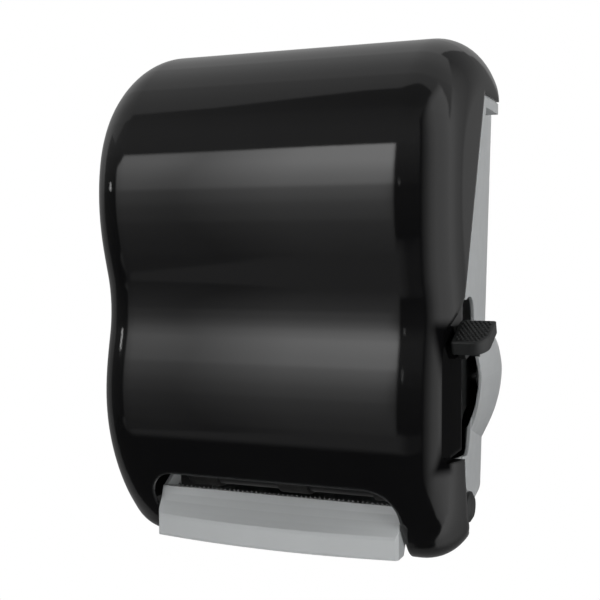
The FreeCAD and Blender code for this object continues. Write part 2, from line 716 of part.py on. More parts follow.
def make_chassis():
    body = new_body("chassis")
    wall = S.chassis_wall
    body.BaseFeature = chassis_block()
    doc.recompute()
    fillet(body, "chassis_high_edges", S.chassis_high_corner, along_depth(True))
    fillet(body, "chassis_low_edges", S.chassis_low_corner, along_depth(False))
    base = body.Tip
    front = min(range(len(base.Shape.Faces)), key=lambda i: base.Shape.Faces[i].CenterOfMass.y)
    shell = body.newObject("PartDesign::Thickness", "chassis_shell")
    shell.Base = (base, ["Face%d" % (front + 1)])
    bind(shell, "Value", wall)
    shell.Reversed = True
    body.Tip = shell
    doc.recompute()

    # Rims and shelves outside the walls, along the rear edge of the cover.
    gap, rim = S.split_gap, S.rim_width
    strip = [(out(S.cover_top_rear_out) + gap, up(S.step_up) - gap)] + front_limit()[2:6]
    strip += [(y + rim, z) for y, z in reversed(strip[1:])]
    strip[-1] = (out(S.step_out) + gap + rim, up(S.step_up) - gap - rim)
    strip.append((out(S.cover_top_rear_out) + gap, up(S.step_up) - gap - rim))
    rim_outer, rim_inner = S.cover_half_width - 1.0, S.cover_half_width - 15.0
    sketch = new_sketch(body, "right_rim_outline", "YZ_Plane", rim_inner)
    draw_polygon(sketch, strip)
    pad(body, "right_rim", sketch, rim_outer - rim_inner)
    sketch = new_sketch(body, "left_rim_outline", "YZ_Plane", -rim_outer)
    draw_polygon(sketch, strip)
    pad(body, "left_rim", sketch, rim_outer - rim_inner)

    # Hinge bosses.
    boss_from = chassis_side(S.hinge_out, HINGE[1]) - wall
    for name, start in (("right", boss_from), ("left", -HINGE_BOSS_END)):
        sketch = new_sketch(body, name + "_hinge_boss_outline", "YZ_Plane", start)
        draw_circle(sketch, HINGE[0], HINGE[1], S.hinge_cap_radius + 1.6)
        pad(body, name + "_hinge_boss", sketch, HINGE_BOSS_END - boss_from)

    # The bulge of the right wall round the lever's pivot.
    low, high = PIVOT[1] - 60.0, PIVOT[1] + 36.0
    at = chassis_side(as_size(0.0), PIVOT[1])
    bulge = [
        (at - 2.0, high + 3.0), (at + 9.5, high - 5.0), (at + 13.5, high - 13.0),
        (at + EAR_WIDE + 1.0, high - 31.0),
        (at + EAR_WIDE + 0.6, high - 44.0), (at + 14.2, high - 60.0), (at + 8.9, high - 78.0),
        (at - 2.0, low - 5.0),
    ]
    sketch = new_sketch(body, "ear_outline", "XZ_Plane")
    draw_polygon(sketch, softened(bulge))
    pad(body, "ear", sketch, S.slot_rear_out - 1.0)
    inside = [(x - wall * 0.9, z - (z - PIVOT[1]) * 0.07) for x, z in bulge[1:-1]]
    inside = [(at - 12.0, high - 2.0)] + inside + [(at - 12.0, low + 6.0)]
    sketch = new_sketch(body, "ear_hollow_outline", "XZ_Plane", wall)
    draw_polygon(sketch, inside)
    pocket(body, "ear_hollow", sketch, S.slot_rear_out)
    inner = at + S.chassis_taper * S.slot_rear_out - wall - 2.6
    sketch = new_sketch(body, "ear_foot_outline", "XZ_Plane", S.slot_rear_out - 22.0)
    draw_polygon(sketch, [
        (at - 11.0, low - 8.0), (inner, low - 8.0), (inner, high + 6.0), (at - 11.0, high + 6.0)])
    pocket(body, "ear_foot_relief", sketch, as_size(25.0))
    sketch = new_sketch(body, "pivot_boss_outline", "YZ_Plane", at + EAR_WIDE - 8.5)
    draw_circle(sketch, PIVOT[0], PIVOT[1], S.pivot_pin_radius + 4.0)
    pad(body, "pivot_boss", sketch, 7.0)

    # The front of the tray is cut to the line that the cover closes on.
    far = S.overall_depth + 40.0
    beyond = front_limit()
    beyond += [(out(far), beyond[-1][1]), (out(far), beyond[0][1])]
    side = S.cover_half_width + 20.0
    sketch = new_sketch(body, "front_cut_outline", "YZ_Plane", -side)
    draw_polygon(sketch, beyond)
    pocket(body, "front_cut", sketch, side * 2)

    # Lever slot, open towards the cover.
    rear = out(S.slot_rear_out)
    slot = [(out(far), SLOT_LOW), (out(far), SLOT_HIGH)]
    slot += quarter(rear, SLOT_HIGH, 34.0, -24.0)
    slot += reversed(quarter(rear, SLOT_LOW - 11.0, 22.0, 35.0))
    slot.append((out(S.split_mid_out), SLOT_LOW))
    sketch = new_sketch(body, "lever_slot_outline", "YZ_Plane", S.frame_inner + 12.0)
    draw_polygon(sketch, slot)
    pocket(body, "lever_slot", sketch, as_size(60.0))

    # The rim is hollowed below the slot, where the cover's recess swings past it.
    sketch = new_sketch(body, "recess_relief_outline", "YZ_Plane", S.cover_half_width - 16.0)
    draw_polygon(sketch, [
        (out(S.split_low_out + 8.0), SLOT_LOW + 0.5), (out(S.hinge_out + 16.0), SLOT_LOW + 0.5),
        (out(S.hinge_out + 16.0), SLOT_LOW - 28.0), (out(S.split_low_out + 8.0), SLOT_LOW - 28.0)])
    pocket(body, "recess_relief", sketch, as_size(16.0) - S.recess_floor_inset + S.joint_gap)

    # Holes: wall screws, inner screws, hinge pins and the lever's pivot.
    sketch = new_sketch(body, "back_holes", "XZ_Plane")
    for side in (-1, 1):
        for height in (-1, 1):
            draw_circle(sketch, S.screw_pitch_x * (side / 2), S.screw_pitch_z * (height / 2),
                S.screw_hole_radius)
    for x, z in screw_places():
        draw_small_hole(sketch, x, z, S.small_screw_radius + S.running_gap)
    pocket(body, "back_bores", sketch, wall)
    sketch = new_sketch(body, "hinge_holes", "YZ_Plane", -side_of_holes())
    draw_circle(sketch, HINGE[0], HINGE[1], S.hinge_pin_radius + S.running_gap)
    pocket(body, "hinge_bores", sketch, side_of_holes() * 2)
    sketch = new_sketch(body, "pivot_hole", "YZ_Plane", S.frame_inner + 12.0)
    draw_circle(sketch, PIVOT[0], PIVOT[1], S.pivot_pin_radius + S.running_gap)
    pocket(body, "pivot_bore", sketch, PIN_END - S.frame_inner - 12.0 + 0.5)
    return body


PIN_END = chassis_side(as_size(0.0), PIVOT[1]) + EAR_WIDE - 3.8


def side_of_holes():
    return S.cover_half_width + 4.0


make_chassis()



# ---------------------------------------------------------------- places of the mechanism

def between(first, second, radius_first, radius_second):
    """The point at two distances from two points, on the side away from the wall and below."""
    dy, dz = second[0] - first[0], second[1] - first[1]
    gap = root(dy * dy + dz * dz)
    share = (radius_first * radius_first - radius_second * radius_second + gap * gap) / (2 * gap)
    rise = root(radius_first * radius_first - share * share)
    uy, uz = dy / gap, dz / gap
    return (first[0] + share * uy + rise * uz, first[1] + share * uz - rise * uy)


HALF_MODULE = S.gear_module / 2
SECTOR_RADIUS = HALF_MODULE * S.sector_teeth
PINION_RADIUS = HALF_MODULE * S.pinion_teeth
WHEEL_RADIUS = HALF_MODULE * S.idler_teeth
CLUTCH_RADIUS = HALF_MODULE * S.roller_teeth
IDLER = between(DRIVE, PIVOT, WHEEL_RADIUS + CLUTCH_RADIUS, SECTOR_RADIUS + PINION_RADIUS)
PRESS_REACH = S.drive_radius + S.press_radius + S.paper_gap
PRESS = (DRIVE[0] - PRESS_REACH * cosine(S.press_angle), DRIVE[1] + PRESS_REACH * sine(S.press_angle))
TRANSFER = (out(S.drive_out - 40.0), up(S.drive_up + 47.0))

FRAME_OUTER = S.frame_inner + S.frame_wall
WHEEL_X = FRAME_OUTER + 2.0
PINION_X = WHEEL_X + S.gear_width + 2.0
SECTOR_END = PINION_X + S.gear_width
HUB_END = SECTOR_END + 9.0
ROLLER_END = S.frame_inner - 5.0
NOSE_PLATE = 3.0
CREST_WALL = 3.0
BAR_WALL = 1.2
BAR_SCREW_DROP = 8.0
BAR_SCREW_RADIUS = S.small_screw_radius * 0.75
NOSE_SCREWS = [(DRIVE[0] - 23.5, DRIVE[1] - 14.0), (DRIVE[0] - 24.5, DRIVE[1] + 2.0)]


# ---------------------------------------------------------------- side frames

def make_side_frame(label, side):
    wall = S.frame_wall
    back = out(S.chassis_wall) - 0.5
    start = S.frame_inner if side > 0 else -FRAME_OUTER
    outline = [
        (back, up(S.pivot_up + 27.0)), (PIVOT[0] - 2.0, up(S.pivot_up + 32.0)),
        (DRIVE[0] - 25.0, up(S.pivot_up - 23.0)),
        (DRIVE[0] - 32.0, DRIVE[1] + 27.0), (DRIVE[0] - 28.0, DRIVE[1] - 8.0),
        (DRIVE[0] - 10.0, DRIVE[1] - 26.0),
        (HINGE[0] - 26.0, HINGE[1] - 16.3), (HINGE[0] + 24.0, HINGE[1] - 16.3),
        (HINGE[0] + 39.0, HINGE[1] + 1.7),
        (back, CHASSIS_LOW + 8.0),
    ]
    body = new_body(label)
    sketch = new_sketch(body, label + "_outline", "YZ_Plane", start)
    draw_polygon(sketch, outline)
    pad(body, label + "_web", sketch, wall)
    flange = S.frame_inner + wall + 12.0
    low, high = up(28.0), up(162.0)
    sketch = new_sketch(body, label + "_flange_outline", "XZ_Plane", S.chassis_wall + 0.5)
    x0, x1 = (S.frame_inner, flange) if side > 0 else (-flange, -S.frame_inner)
    draw_polygon(sketch, [(x0, low), (x1, low), (x1, high), (x0, high)])
    pad(body, label + "_flange", sketch, wall)
    fillet(body, label + "_corners", 6.0, lambda e: along(X_AXIS)(e) and e.BoundBox.YMax < -60.0)
    holes = [(DRIVE, S.shaft_radius + 3.0), (PRESS, S.shaft_radius), (TRANSFER, S.shaft_radius)]
    if side > 0:
        holes += [(PIVOT, S.pivot_pin_radius), (IDLER, S.shaft_radius)]
    sketch = new_sketch(body, label + "_holes", "YZ_Plane", start)
    for (y, z), radius in holes:
        draw_circle(sketch, y, z, radius + S.running_gap)
    for y, z in NOSE_SCREWS:
        draw_small_hole(sketch, y, z, S.small_screw_radius + S.running_gap)
    pocket(body, label + "_bores", sketch, wall)
    sketch = new_sketch(body, label + "_windows", "YZ_Plane", start)
    draw_polygon(sketch, [
        (PIVOT[0] + 40.0, PIVOT[1] + 8.0), (PIVOT[0] + 18.0, PIVOT[1] + 8.0),
        (PIVOT[0] + 14.0, PIVOT[1] - 24.0), (PIVOT[0] + 40.0, PIVOT[1] - 34.0)])
    pocket(body, label + "_window", sketch, wall)
    sketch = new_sketch(body, label + "_screw_holes", "XZ_Plane", S.chassis_wall + 0.5)
    for x, z in screw_places()[:4]:
        if x.value * side > 0:
            draw_small_hole(sketch, x, z, S.small_screw_radius + S.running_gap)
    pocket(body, label + "_screw_bores", sketch, wall)


make_side_frame("side_frame_right", 1)
make_side_frame("side_frame_left", -1)


# ---------------------------------------------------------------- chute and tear bar

def loft(body, name, sections):
    made = body.newObject("PartDesign::AdditiveLoft", name)
    made.Profile = (sections[0], [""])
    made.Sections = [(section, [""]) for section in sections[1:]]
    body.Tip = made
    doc.recompute()


def nose_section(bow):
    """Closed outline of the chute's wall as (y, z). The bow is how far this section stands back."""
    wall = S.nose_wall
    front = out(S.nose_front_out) + bow
    crest, crest_z = out(S.nose_crest_out), up(S.nose_crest_up)
    crease_z, low = up(S.nose_crease_up), up(S.nose_low_up)
    # The upper face sags by up to nose_sag between the crest and the rounded crease.
    upper = [(front + 0.9, low), (front, low + 2.0), (front, crease_z - 2.5), (front + 0.8, crease_z)]
    for share in (0.25, 0.5, 0.75):
        sag = S.nose_sag * (4 * share * (1 - share))
        upper.append((front + (crest - front) * share + sag,
            crease_z + (crest_z - crease_z) * share - sag * 0.6))
    upper.append((crest, crest_z))
    lower = [
        (crest + CREST_WALL, crest_z), (crest + CREST_WALL, crest_z - 14.0), (crest + 0.4, crest_z - 14.0),
        (crest + 0.4, crest_z - 7.0),
    ]
    middle_y, middle_z = upper[5]
    lower += [(middle_y + wall, middle_z - wall), (front + wall + 0.6, crease_z - wall * 0.6),
        (front + wall, low)]
    return upper + lower


def make_nose():
    body = new_body("nose_chute")
    half = S.frame_inner - S.joint_gap / 4
    sections = []
    for share in (-1.0, 0.0, 1.0):
        sketch = new_sketch(body, "nose_section", "YZ_Plane", half * share)
        draw_polygon(sketch, nose_section(S.nose_bow * (share * share)))
        sections.append(sketch)
    loft(body, "nose_wall", sections)
    low, crest_z, crest = up(S.nose_low_up), up(S.nose_crest_up), out(S.nose_crest_out)
    front = out(S.nose_front_out) + S.nose_bow
    plate_points = [
        (front + 1.0, low), (front + 1.0, up(S.nose_crease_up) - 1.0), (crest + 1.0, crest_z - 1.0),
        (NOSE_SCREWS[1][0] + 4.0, NOSE_SCREWS[1][1] + 4.0),
        (NOSE_SCREWS[0][0] + 4.0, NOSE_SCREWS[0][1] - 3.0),
        (crest + 6.0, low),
    ]
    for name, start in (("right", half - NOSE_PLATE), ("left", -half)):
        sketch = new_sketch(body, name + "_end_outline", "YZ_Plane", start)
        draw_polygon(sketch, plate_points)
        pad(body, name + "_end", sketch, NOSE_PLATE)
    # The front corners of both ends are cut off, which lets the corners of the towel opening swing past.
    front, short, long, beyond = out(S.nose_front_out) + S.nose_bow, 2.0, 3.0, 0.4
    sketch = new_sketch(body, "nose_corner_outline", "XY_Plane", low - 1.0)
    for side in (-1.0, 1.0):
        draw_polygon(sketch, [
            ((half - short * (1 + beyond)) * side, front - long * beyond),
            ((half + 1.0) * side, front - long * beyond),
            ((half + 1.0) * side, front + long * (1 + beyond)),
            ((half + short * beyond) * side, front + long * (1 + beyond))])
    pocket(body, "nose_corner_cut", sketch, S.nose_crease_up)
    sketch = new_sketch(body, "nose_end_holes", "YZ_Plane", -half)
    for y, z in NOSE_SCREWS:
        draw_small_hole(sketch, y, z, S.small_screw_radius + S.running_gap)
    pocket(body, "nose_end_bores", sketch, half * 2)
    sketch = new_sketch(body, "nose_flange_holes", "XZ_Plane", S.nose_crest_out - 4.0)
    for x in bar_screws():
        draw_small_hole(sketch, x, crest_z - BAR_SCREW_DROP, BAR_SCREW_RADIUS + S.running_gap)
    pocket(body, "nose_flange_bores", sketch, as_size(4.0))


def bar_screws():
    """X of the screws that hold the tear bar."""
    return [S.frame_inner * share for share in (-0.8, 0.0, 0.8)]


def make_tear_bar():
    """Steel strip behind the crest, with saw teeth along its upper edge."""
    pitch, half = S.tooth_pitch.value, S.frame_inner.value - 7.0
    crest = up(S.nose_crest_up).value
    top, bottom = crest + 1.0, crest - 13.0
    rear = out(S.nose_crest_out).value + CREST_WALL
    count = int(2 * half / pitch)
    start = -count * pitch / 2
    points = [Vector(start, rear, bottom)]
    for i in range(count):
        points.append(Vector(start + i * pitch, rear, top - pitch * 0.6))
        points.append(Vector(start + (i + 0.5) * pitch, rear, top))
    points += [Vector(-start, rear, top - pitch * 0.6), Vector(-start, rear, bottom)]
    bar = Part.Face(Part.makePolygon(points + points[:1])).extrude(Vector(0, BAR_WALL, 0))
    for x in bar_screws():
        seat = Vector(x.value, rear, crest - BAR_SCREW_DROP)
        bar = bar.cut(shank((BAR_SCREW_RADIUS + S.running_gap).value * OCTAGON, 2.0, seat, Y_AXIS))
    return bar


make_nose()
new_feature("tear_bar", make_tear_bar())


# ---------------------------------------------------------------- rollers

def make_rollers():
    shaft = S.shaft_radius
    core = S.drive_radius - S.band_wall
    collar = shaft + 1.5
    right = WHEEL_X + S.gear_width + 1.0
    turned("drive_roller", [
        (-FRAME_OUTER - 4.0, 0.0), (-FRAME_OUTER - 4.0, shaft), (-ROLLER_END, shaft), (-ROLLER_END, core),
        (ROLLER_END, core),
        (ROLLER_END, shaft), (right, shaft), (right, collar), (right + 1.5, collar), (right + 1.5, 0.0),
    ], *DRIVE)
    press = S.press_radius
    turned("pressure_roller", [
        (-FRAME_OUTER - 2.0, 0.0), (-FRAME_OUTER - 2.0, shaft), (-ROLLER_END, shaft),
        (-ROLLER_END, press - 1.0),
        (-ROLLER_END + 1.0, press), (ROLLER_END - 1.0, press), (ROLLER_END, press - 1.0),
        (ROLLER_END, shaft),
        (FRAME_OUTER + 1.0, shaft), (FRAME_OUTER + 1.0, 0.0),
    ], *PRESS)
    bands = []
    count = int(S.band_count.value)
    step = 2 * (ROLLER_END.value - S.band_width.value / 2 - 3.0) / (count - 1)
    for i in range(count):
        x = (i - (count - 1) / 2) * step - S.band_width.value / 2
        place = Vector(x, DRIVE[0].value, DRIVE[1].value)
        ring = Part.makeCylinder(S.drive_radius.value, S.band_width.value, place, X_AXIS)
        inner = core.value + S.running_gap.value
        bands.append(ring.cut(Part.makeCylinder(inner, S.band_width.value, place, X_AXIS)))
    new_feature("drive_bands", Part.makeCompound(bands))

    bushes = []
    y, z = DRIVE
    for side in (-1, 1):
        start = Vector(side * (S.frame_inner.value - 1.5), y.value, z.value)
        way = Vector(side, 0, 0)
        long = S.frame_wall.value + 1.5
        sleeve = Part.makeCylinder(shaft.value + 3.0, long, start, way)
        bore = shaft.value + S.running_gap.value
        bushes.append(sleeve.cut(Part.makeCylinder(bore, long, start, way)))
    new_feature("drive_bushes", Part.makeCompound(bushes))


make_rollers()


# ---------------------------------------------------------------- gears and lever

PRESSURE_ANGLE = math.radians(20.0)
ADDENDUM = 0.85
DEDENDUM = 1.15


def involute(angle):
    return math.tan(angle) - angle


def toothed(teeth, first, count=None):
    """Outline points of involute teeth as (angle, radius), the first tooth centred on an angle."""
    module = S.gear_module.value
    pitch_r = module * teeth / 2
    base_r = pitch_r * math.cos(PRESSURE_ANGLE)
    tip_r, root_r = pitch_r + ADDENDUM * module, pitch_r - DEDENDUM * module
    half_pitch = (math.pi * module - S.backlash.value) / (4 * pitch_r)
    flank = []
    for radius in (root_r, pitch_r, tip_r):
        roll = math.acos(min(1.0, base_r / radius)) if radius > base_r else 0.0
        flank.append((half_pitch + involute(PRESSURE_ANGLE) - involute(roll), radius))
    points = []
    for i in range(count or teeth):
        middle = first + 2 * math.pi * i / teeth
        points += [(middle - half, radius) for half, radius in flank]
        points += [(middle + half, radius) for half, radius in reversed(flank)]
    return points


def toothed_face(points, x, centre, corner=False):
    outline = [Vector(x, centre[0] + r * math.cos(a), centre[1] + r * math.sin(a)) for a, r in points]
    if corner:
        outline.append(Vector(x, *centre))
    return Part.Face(Part.makePolygon(outline + outline[:1]))


def values(place):
    return (place[0].value, place[1].value)


def direction(start, end):
    return math.atan2(end[1] - start[1], end[0] - start[0])


def rod(radius, start, end, place):
    return Part.makeCylinder(radius, end - start, Vector(start, *place), X_AXIS)


def make_gears():
    width = S.gear_width.value
    pivot, idler, drive = values(PIVOT), values(IDLER), values(DRIVE)
    shaft = S.shaft_radius.value + S.running_gap.value
    # The lever's sector: its first contact is at rest, the last one at full stroke.
    teeth = int(S.sector_teeth.value)
    step = 2 * math.pi / teeth
    contact = direction(pivot, idler)
    before = int(math.radians(S.lever_travel.value) / step) + 2
    points = toothed(teeth, contact - before * step, before + 2)
    start = PINION_X.value
    sector = toothed_face(points, start, pivot, corner=True).extrude(Vector(width, 0, 0))
    hub_r = S.pivot_pin_radius.value + 5.0
    sector = sector.fuse(rod(hub_r + 6.0, start, start + width, pivot))
    sector = sector.cut(rod(hub_r + S.running_gap.value, start, start + width, pivot))
    new_feature("lever_sector", sector)

    # The idler: a pinion that meets the sector, moulded with the wheel that meets the clutch gear.
    pinion = int(S.pinion_teeth.value)
    wheel = int(S.idler_teeth.value)
    back = direction(idler, pivot)
    ahead = direction(idler, drive)
    small = toothed_face(toothed(pinion, back + math.pi / pinion), start, idler).extrude(Vector(width, 0, 0))
    large_x = WHEEL_X.value
    large = toothed_face(toothed(wheel, ahead), large_x, idler).extrude(Vector(width, 0, 0))
    neck = rod(PINION_RADIUS.value - 3.0, large_x, start + 0.5, idler)
    compound = large.fuse([small, neck]).removeSplitter()
    compound = compound.cut(rod(shaft, large_x, start + width, idler))
    new_feature("idler_gear", compound)

    # The gear on the drive roller's shaft turns it through a one-way clutch.
    last = int(S.roller_teeth.value)
    meets = direction(drive, idler)
    gear = toothed_face(toothed(last, meets + math.pi / last), large_x, drive).extrude(Vector(width, 0, 0))
    gear = gear.cut(rod(shaft, large_x, large_x + width, drive))
    new_feature("clutch_gear", gear)


make_gears()


def bent_paddle():
    """The lever's thumb plate: level in its own frame with the rear top edge at the origin."""
    wide, long, thick = S.paddle_width.value, S.paddle_length.value, S.paddle_wall.value
    outer = S.cover_half_width.value + S.paddle_stand.value
    block = Part.makeBox(wide, long, thick, Vector(outer - wide, -long, -thick))
    upright = [e for e in block.Edges if along(Z_AXIS)(e)]
    big = [e for e in upright if e.BoundBox.XMin > outer - 1 and e.BoundBox.YMax < -1]
    block = block.makeFillet(13.0, big)
    small = [e for e in block.Edges if along(Z_AXIS)(e) and e.BoundBox.XMin < outer - wide + 1]
    block = block.makeFillet(2.5, small)
    top = [e for e in block.Edges if e.BoundBox.ZMin > -0.01]
    block = block.makeChamfer(1.0, top)
    tilt = Rotation(X_AXIS, S.paddle_tilt.value)
    place = Vector(0, out(S.paddle_out).value, up(S.paddle_up).value)
    block.Placement = Placement(place, tilt)
    return block


def make_lever():
    pivot = values(PIVOT)
    hub_r = S.pivot_pin_radius.value + 5.0
    hub_end = HUB_END.value
    web = 3.0
    hub = rod(hub_r, PINION_X.value, hub_end, pivot)
    reach = SECTOR_RADIUS.value
    arm_side = S.cover_half_width.value - S.recess_floor_inset.value + 1.5
    # The web runs from the hub to the slot, its front on a circle about the pivot.
    y, z = pivot
    web_points = [
        (y + 12.0, z + 8.0), (y + 2.0, z + 16.0), (y - 36.0, z + 40.0), (y - 55.0, z + 45.0),
        (y - 68.0, z + 45.0),
        (y - 76.0, z + 30.0), (y - 82.0, z + 8.0), (y - 80.0, z - 18.0), (y - 72.0, z - 38.0),
        (y - 58.0, z - 55.0),
        (y - 36.0, z - 29.0), (y - 16.0, z - 22.0), (y + 10.0, z - 10.0),
    ]
    disc = rod(28.0, hub_end - web, hub_end, pivot)
    lever = prism(web_points, hub_end - web, hub_end).fuse([hub, disc])
    stem = prism(
        [(y - 54.0, z + 44.5), (y - 71.0, z + 44.5), (y - 76.0, z + 29.0), (y - 54.0, z + 22.0)],
        hub_end - web, arm_side + 5.5)
    paddle_y, paddle_z = out(S.paddle_out).value, up(S.paddle_up).value
    arm = prism([
        (y - 54.0, z + 44.5), (paddle_y + 3.0, paddle_z - 12.0), (paddle_y - 2.0, paddle_z - 5.0),
        (paddle_y - 8.0, paddle_z - 8.0), (paddle_y - 8.0, paddle_z - 20.0),
        (paddle_y + 6.0, paddle_z - 31.0),
        (y - 76.0, z + 29.0), (y - 56.0, z + 24.0),
    ], arm_side, arm_side + 5.5)
    lever = lever.fuse([stem, arm, bent_paddle()])
    lever = lever.cut(rod(S.pivot_pin_radius.value + S.running_gap.value, PINION_X.value, hub_end, pivot))
    new_feature("lever", lever.removeSplitter())


make_lever()


def coil(radius, wire, turns, pitch, place, way, legs):
    """A wound spring of square wire along a direction, with one straight leg at each end."""
    helix = Part.makeHelix(pitch, pitch * turns, radius)
    section = Part.makePolygon([
        Vector(radius + wire * math.cos(a), 0, wire * math.sin(a))
        for a in [math.pi / 2 * i + math.pi / 4 for i in range(5)]])
    wound = Part.Wire(helix.Edges).makePipeShell([section], True, True)
    parts_of = [wound]
    for angle, height in ((0.0, 0.0), (turns * 2 * math.pi, pitch * turns)):
        radial = Vector(math.cos(angle), math.sin(angle), 0)
        tangent = Vector(-radial.y, radial.x, 0) * (-1.0 if angle == 0.0 else 1.0)
        leg = Part.makeCylinder(wire * 0.86, legs, radial * radius + Vector(0, 0, height), tangent)
        parts_of.append(leg)
    spring = parts_of[0].fuse(parts_of[1:])
    spring.transformShape(Placement(place, Rotation(Z_AXIS, way)).toMatrix(), True)
    return spring


def make_pins():
    pivot, idler = values(PIVOT), values(IDLER)
    inner = S.frame_inner
    turned("lever_pivot_pin", [
        (inner - 2.0, 0.0), (inner - 2.0, S.pivot_pin_radius + 3.0),
        (inner - S.running_gap, S.pivot_pin_radius + 3.0),
        (inner - S.running_gap, S.pivot_pin_radius), (PIN_END - 1.0, S.pivot_pin_radius),
        (PIN_END, S.pivot_pin_radius - 1.0),
        (PIN_END, 0.0),
    ], *PIVOT)
    end = SECTOR_END + 2.0
    turned("idler_pin", [
        (inner - 2.0, 0.0), (inner - 2.0, S.shaft_radius + 3.0),
        (inner - S.running_gap, S.shaft_radius + 3.0),
        (inner - S.running_gap, S.shaft_radius), (end - 1.5, S.shaft_radius),
        (end - 1.5, S.shaft_radius + 2.0),
        (end, S.shaft_radius + 2.0), (end, 0.0),
    ], *IDLER)
    pins = []
    for side in (-1, 1):
        y, z = values(HINGE)
        way = Vector(side, 0, 0)
        cap_x = HINGE_BOSS_END.value + 0.2
        inner_end = LUG_X.value - 1.5
        start = Vector(side * inner_end, y, z)
        pin = Part.makeCylinder(S.hinge_pin_radius.value, cap_x + 1.0 - inner_end, start, way)
        rim = Part.makeCylinder(S.hinge_cap_radius.value, 2.5, Vector(side * cap_x, y, z), way)
        dome_r = S.hinge_cap_radius.value
        dome = Part.makeCone(dome_r, dome_r - 4.0, 2.4, Vector(side * (cap_x + 2.5), y, z), way)
        pins.append(pin.fuse([rim, dome]))
    new_feature("hinge_pins", Part.makeCompound(pins))


make_pins()
new_feature("lever_spring", coil(
    S.pivot_pin_radius.value + 7.0, 0.7, 2.0, 1.9,
    Vector(SECTOR_END.value + 1.2, *values(PIVOT)), X_AXIS, 14.0))


# ---------------------------------------------------------------- roll holders

def arm_plate(body, label, side, root_y):
    """A tapering arm from the wall side to the roll's centre."""
    start = FRAME_OUTER - 4.0 if side > 0 else -FRAME_OUTER
    y, z = ROLL
    outline = [
        (root_y, z - 34.0), (root_y, z + 34.0), (y + 30.0, z + 20.0), (y + 4.0, z + 15.5),
        (y - 8.0, z + 13.0),
        (y - 15.0, z + 5.0), (y - 15.0, z - 5.0), (y - 8.0, z - 13.0), (y + 4.0, z - 15.5),
        (y + 30.0, z - 20.0),
    ]
    sketch = new_sketch(body, label + "_outline", "YZ_Plane", start)
    draw_polygon(sketch, outline)
    pad(body, label + "_web", sketch, as_size(4.0))
    sketch = new_sketch(body, label + "_hole", "YZ_Plane", start)
    draw_circle(sketch, y, z, HUB_SHAFT + S.running_gap)
    pocket(body, label + "_bore", sketch, as_size(4.0))


HUB_SHAFT = S.core_radius / 3
HINGE_LINE = (-(FRAME_OUTER - 2.0), out(S.chassis_wall + 10.0))


def make_arms():
    wall = S.chassis_wall
    right = new_body("roll_arm_right")
    arm_plate(right, "roll_arm_right", 1, out(wall + 1.0))
    sketch = new_sketch(right, "right_foot_outline", "XZ_Plane", wall + 0.5)
    x0, x1 = S.frame_inner - 17.0, FRAME_OUTER
    draw_polygon(sketch, [(x0, ROLL[1] - 34.0), (x1, ROLL[1] - 34.0), (x1, ROLL[1] + 34.0),
        (x0, ROLL[1] + 34.0)])
    pad(right, "right_foot", sketch, as_size(4.0))
    sketch = new_sketch(right, "right_foot_holes", "XZ_Plane", wall + 0.5)
    for x, z in (screw_places()[4], screw_places()[6]):
        draw_small_hole(sketch, x, z, S.small_screw_radius + S.running_gap)
    pocket(right, "right_foot_bores", sketch, as_size(4.0))

    left = new_body("roll_arm_left")
    arm_plate(left, "roll_arm_left", -1, HINGE_LINE[1] - 2.0)
    knuckle = new_sketch(left, "knuckle_outline", "XY_Plane", ROLL[1] - 27.0)
    draw_circle(knuckle, HINGE_LINE[0], HINGE_LINE[1], 5.0)
    pad(left, "knuckle", knuckle, as_size(54.0))
    for name, low, high in (("lower", -35.0, -26.6), ("upper", 26.6, 35.0)):
        sketch = new_sketch(left, name + "_relief_outline", "XY_Plane", ROLL[1] + low)
        x, y = HINGE_LINE
        draw_polygon(sketch, [(x - 9.0, y - 9.0), (x + 9.0, y - 9.0), (x + 9.0, y + 9.0),
            (x - 9.0, y + 9.0)])
        pocket(left, name + "_relief", sketch, as_size(high - low))
    sketch = new_sketch(left, "knuckle_hole", "XY_Plane", ROLL[1] - 30.0)
    draw_circle(sketch, HINGE_LINE[0], HINGE_LINE[1], 2.5 + S.running_gap)
    pocket(left, "knuckle_bore", sketch, as_size(60.0))

    bracket = new_body("roll_arm_bracket")
    x0, x1 = -(FRAME_OUTER + 4.0), -(S.frame_inner - 17.0)
    sketch = new_sketch(bracket, "bracket_foot_outline", "XZ_Plane", wall + 0.2)
    draw_polygon(sketch, [(x0, ROLL[1] - 34.0), (x1, ROLL[1] - 34.0), (x1, ROLL[1] + 34.0),
        (x0, ROLL[1] + 34.0)])
    pad(bracket, "bracket_foot", sketch, as_size(2.0))
    x, y = HINGE_LINE
    for name, low in (("lower", -33.0), ("upper", 28.0)):
        sketch = new_sketch(bracket, name + "_ear_outline", "XY_Plane", ROLL[1] + low)
        draw_polygon(sketch, [(x0, out(wall + 1.2)), (x0, y - 6.0), (x + 6.0, y - 6.0),
            (x + 6.0, out(wall + 1.2))])
        pad(bracket, name + "_ear", sketch, as_size(5.0))
    sketch = new_sketch(bracket, "ear_hole", "XY_Plane", ROLL[1] - 34.0)
    draw_circle(sketch, x, y, 2.5 + S.running_gap)
    pocket(bracket, "ear_bore", sketch, as_size(68.0))
    sketch = new_sketch(bracket, "bracket_foot_holes", "XZ_Plane", wall + 0.2)
    for px, pz in (screw_places()[5], screw_places()[7]):
        draw_small_hole(sketch, px, pz, S.small_screw_radius + S.running_gap)
    pocket(bracket, "bracket_foot_bores", sketch, as_size(2.0))
    place = Vector(x.value, y.value, ROLL[1].value - 35.0)
    pin = Part.makeCylinder(2.5, 70.0, place, Z_AXIS)
    pin = pin.fuse(Part.makeCylinder(4.0, 1.5, place + Vector(0, 0, 70.0), Z_AXIS))
    new_feature("roll_arm_pin", pin)


make_arms()


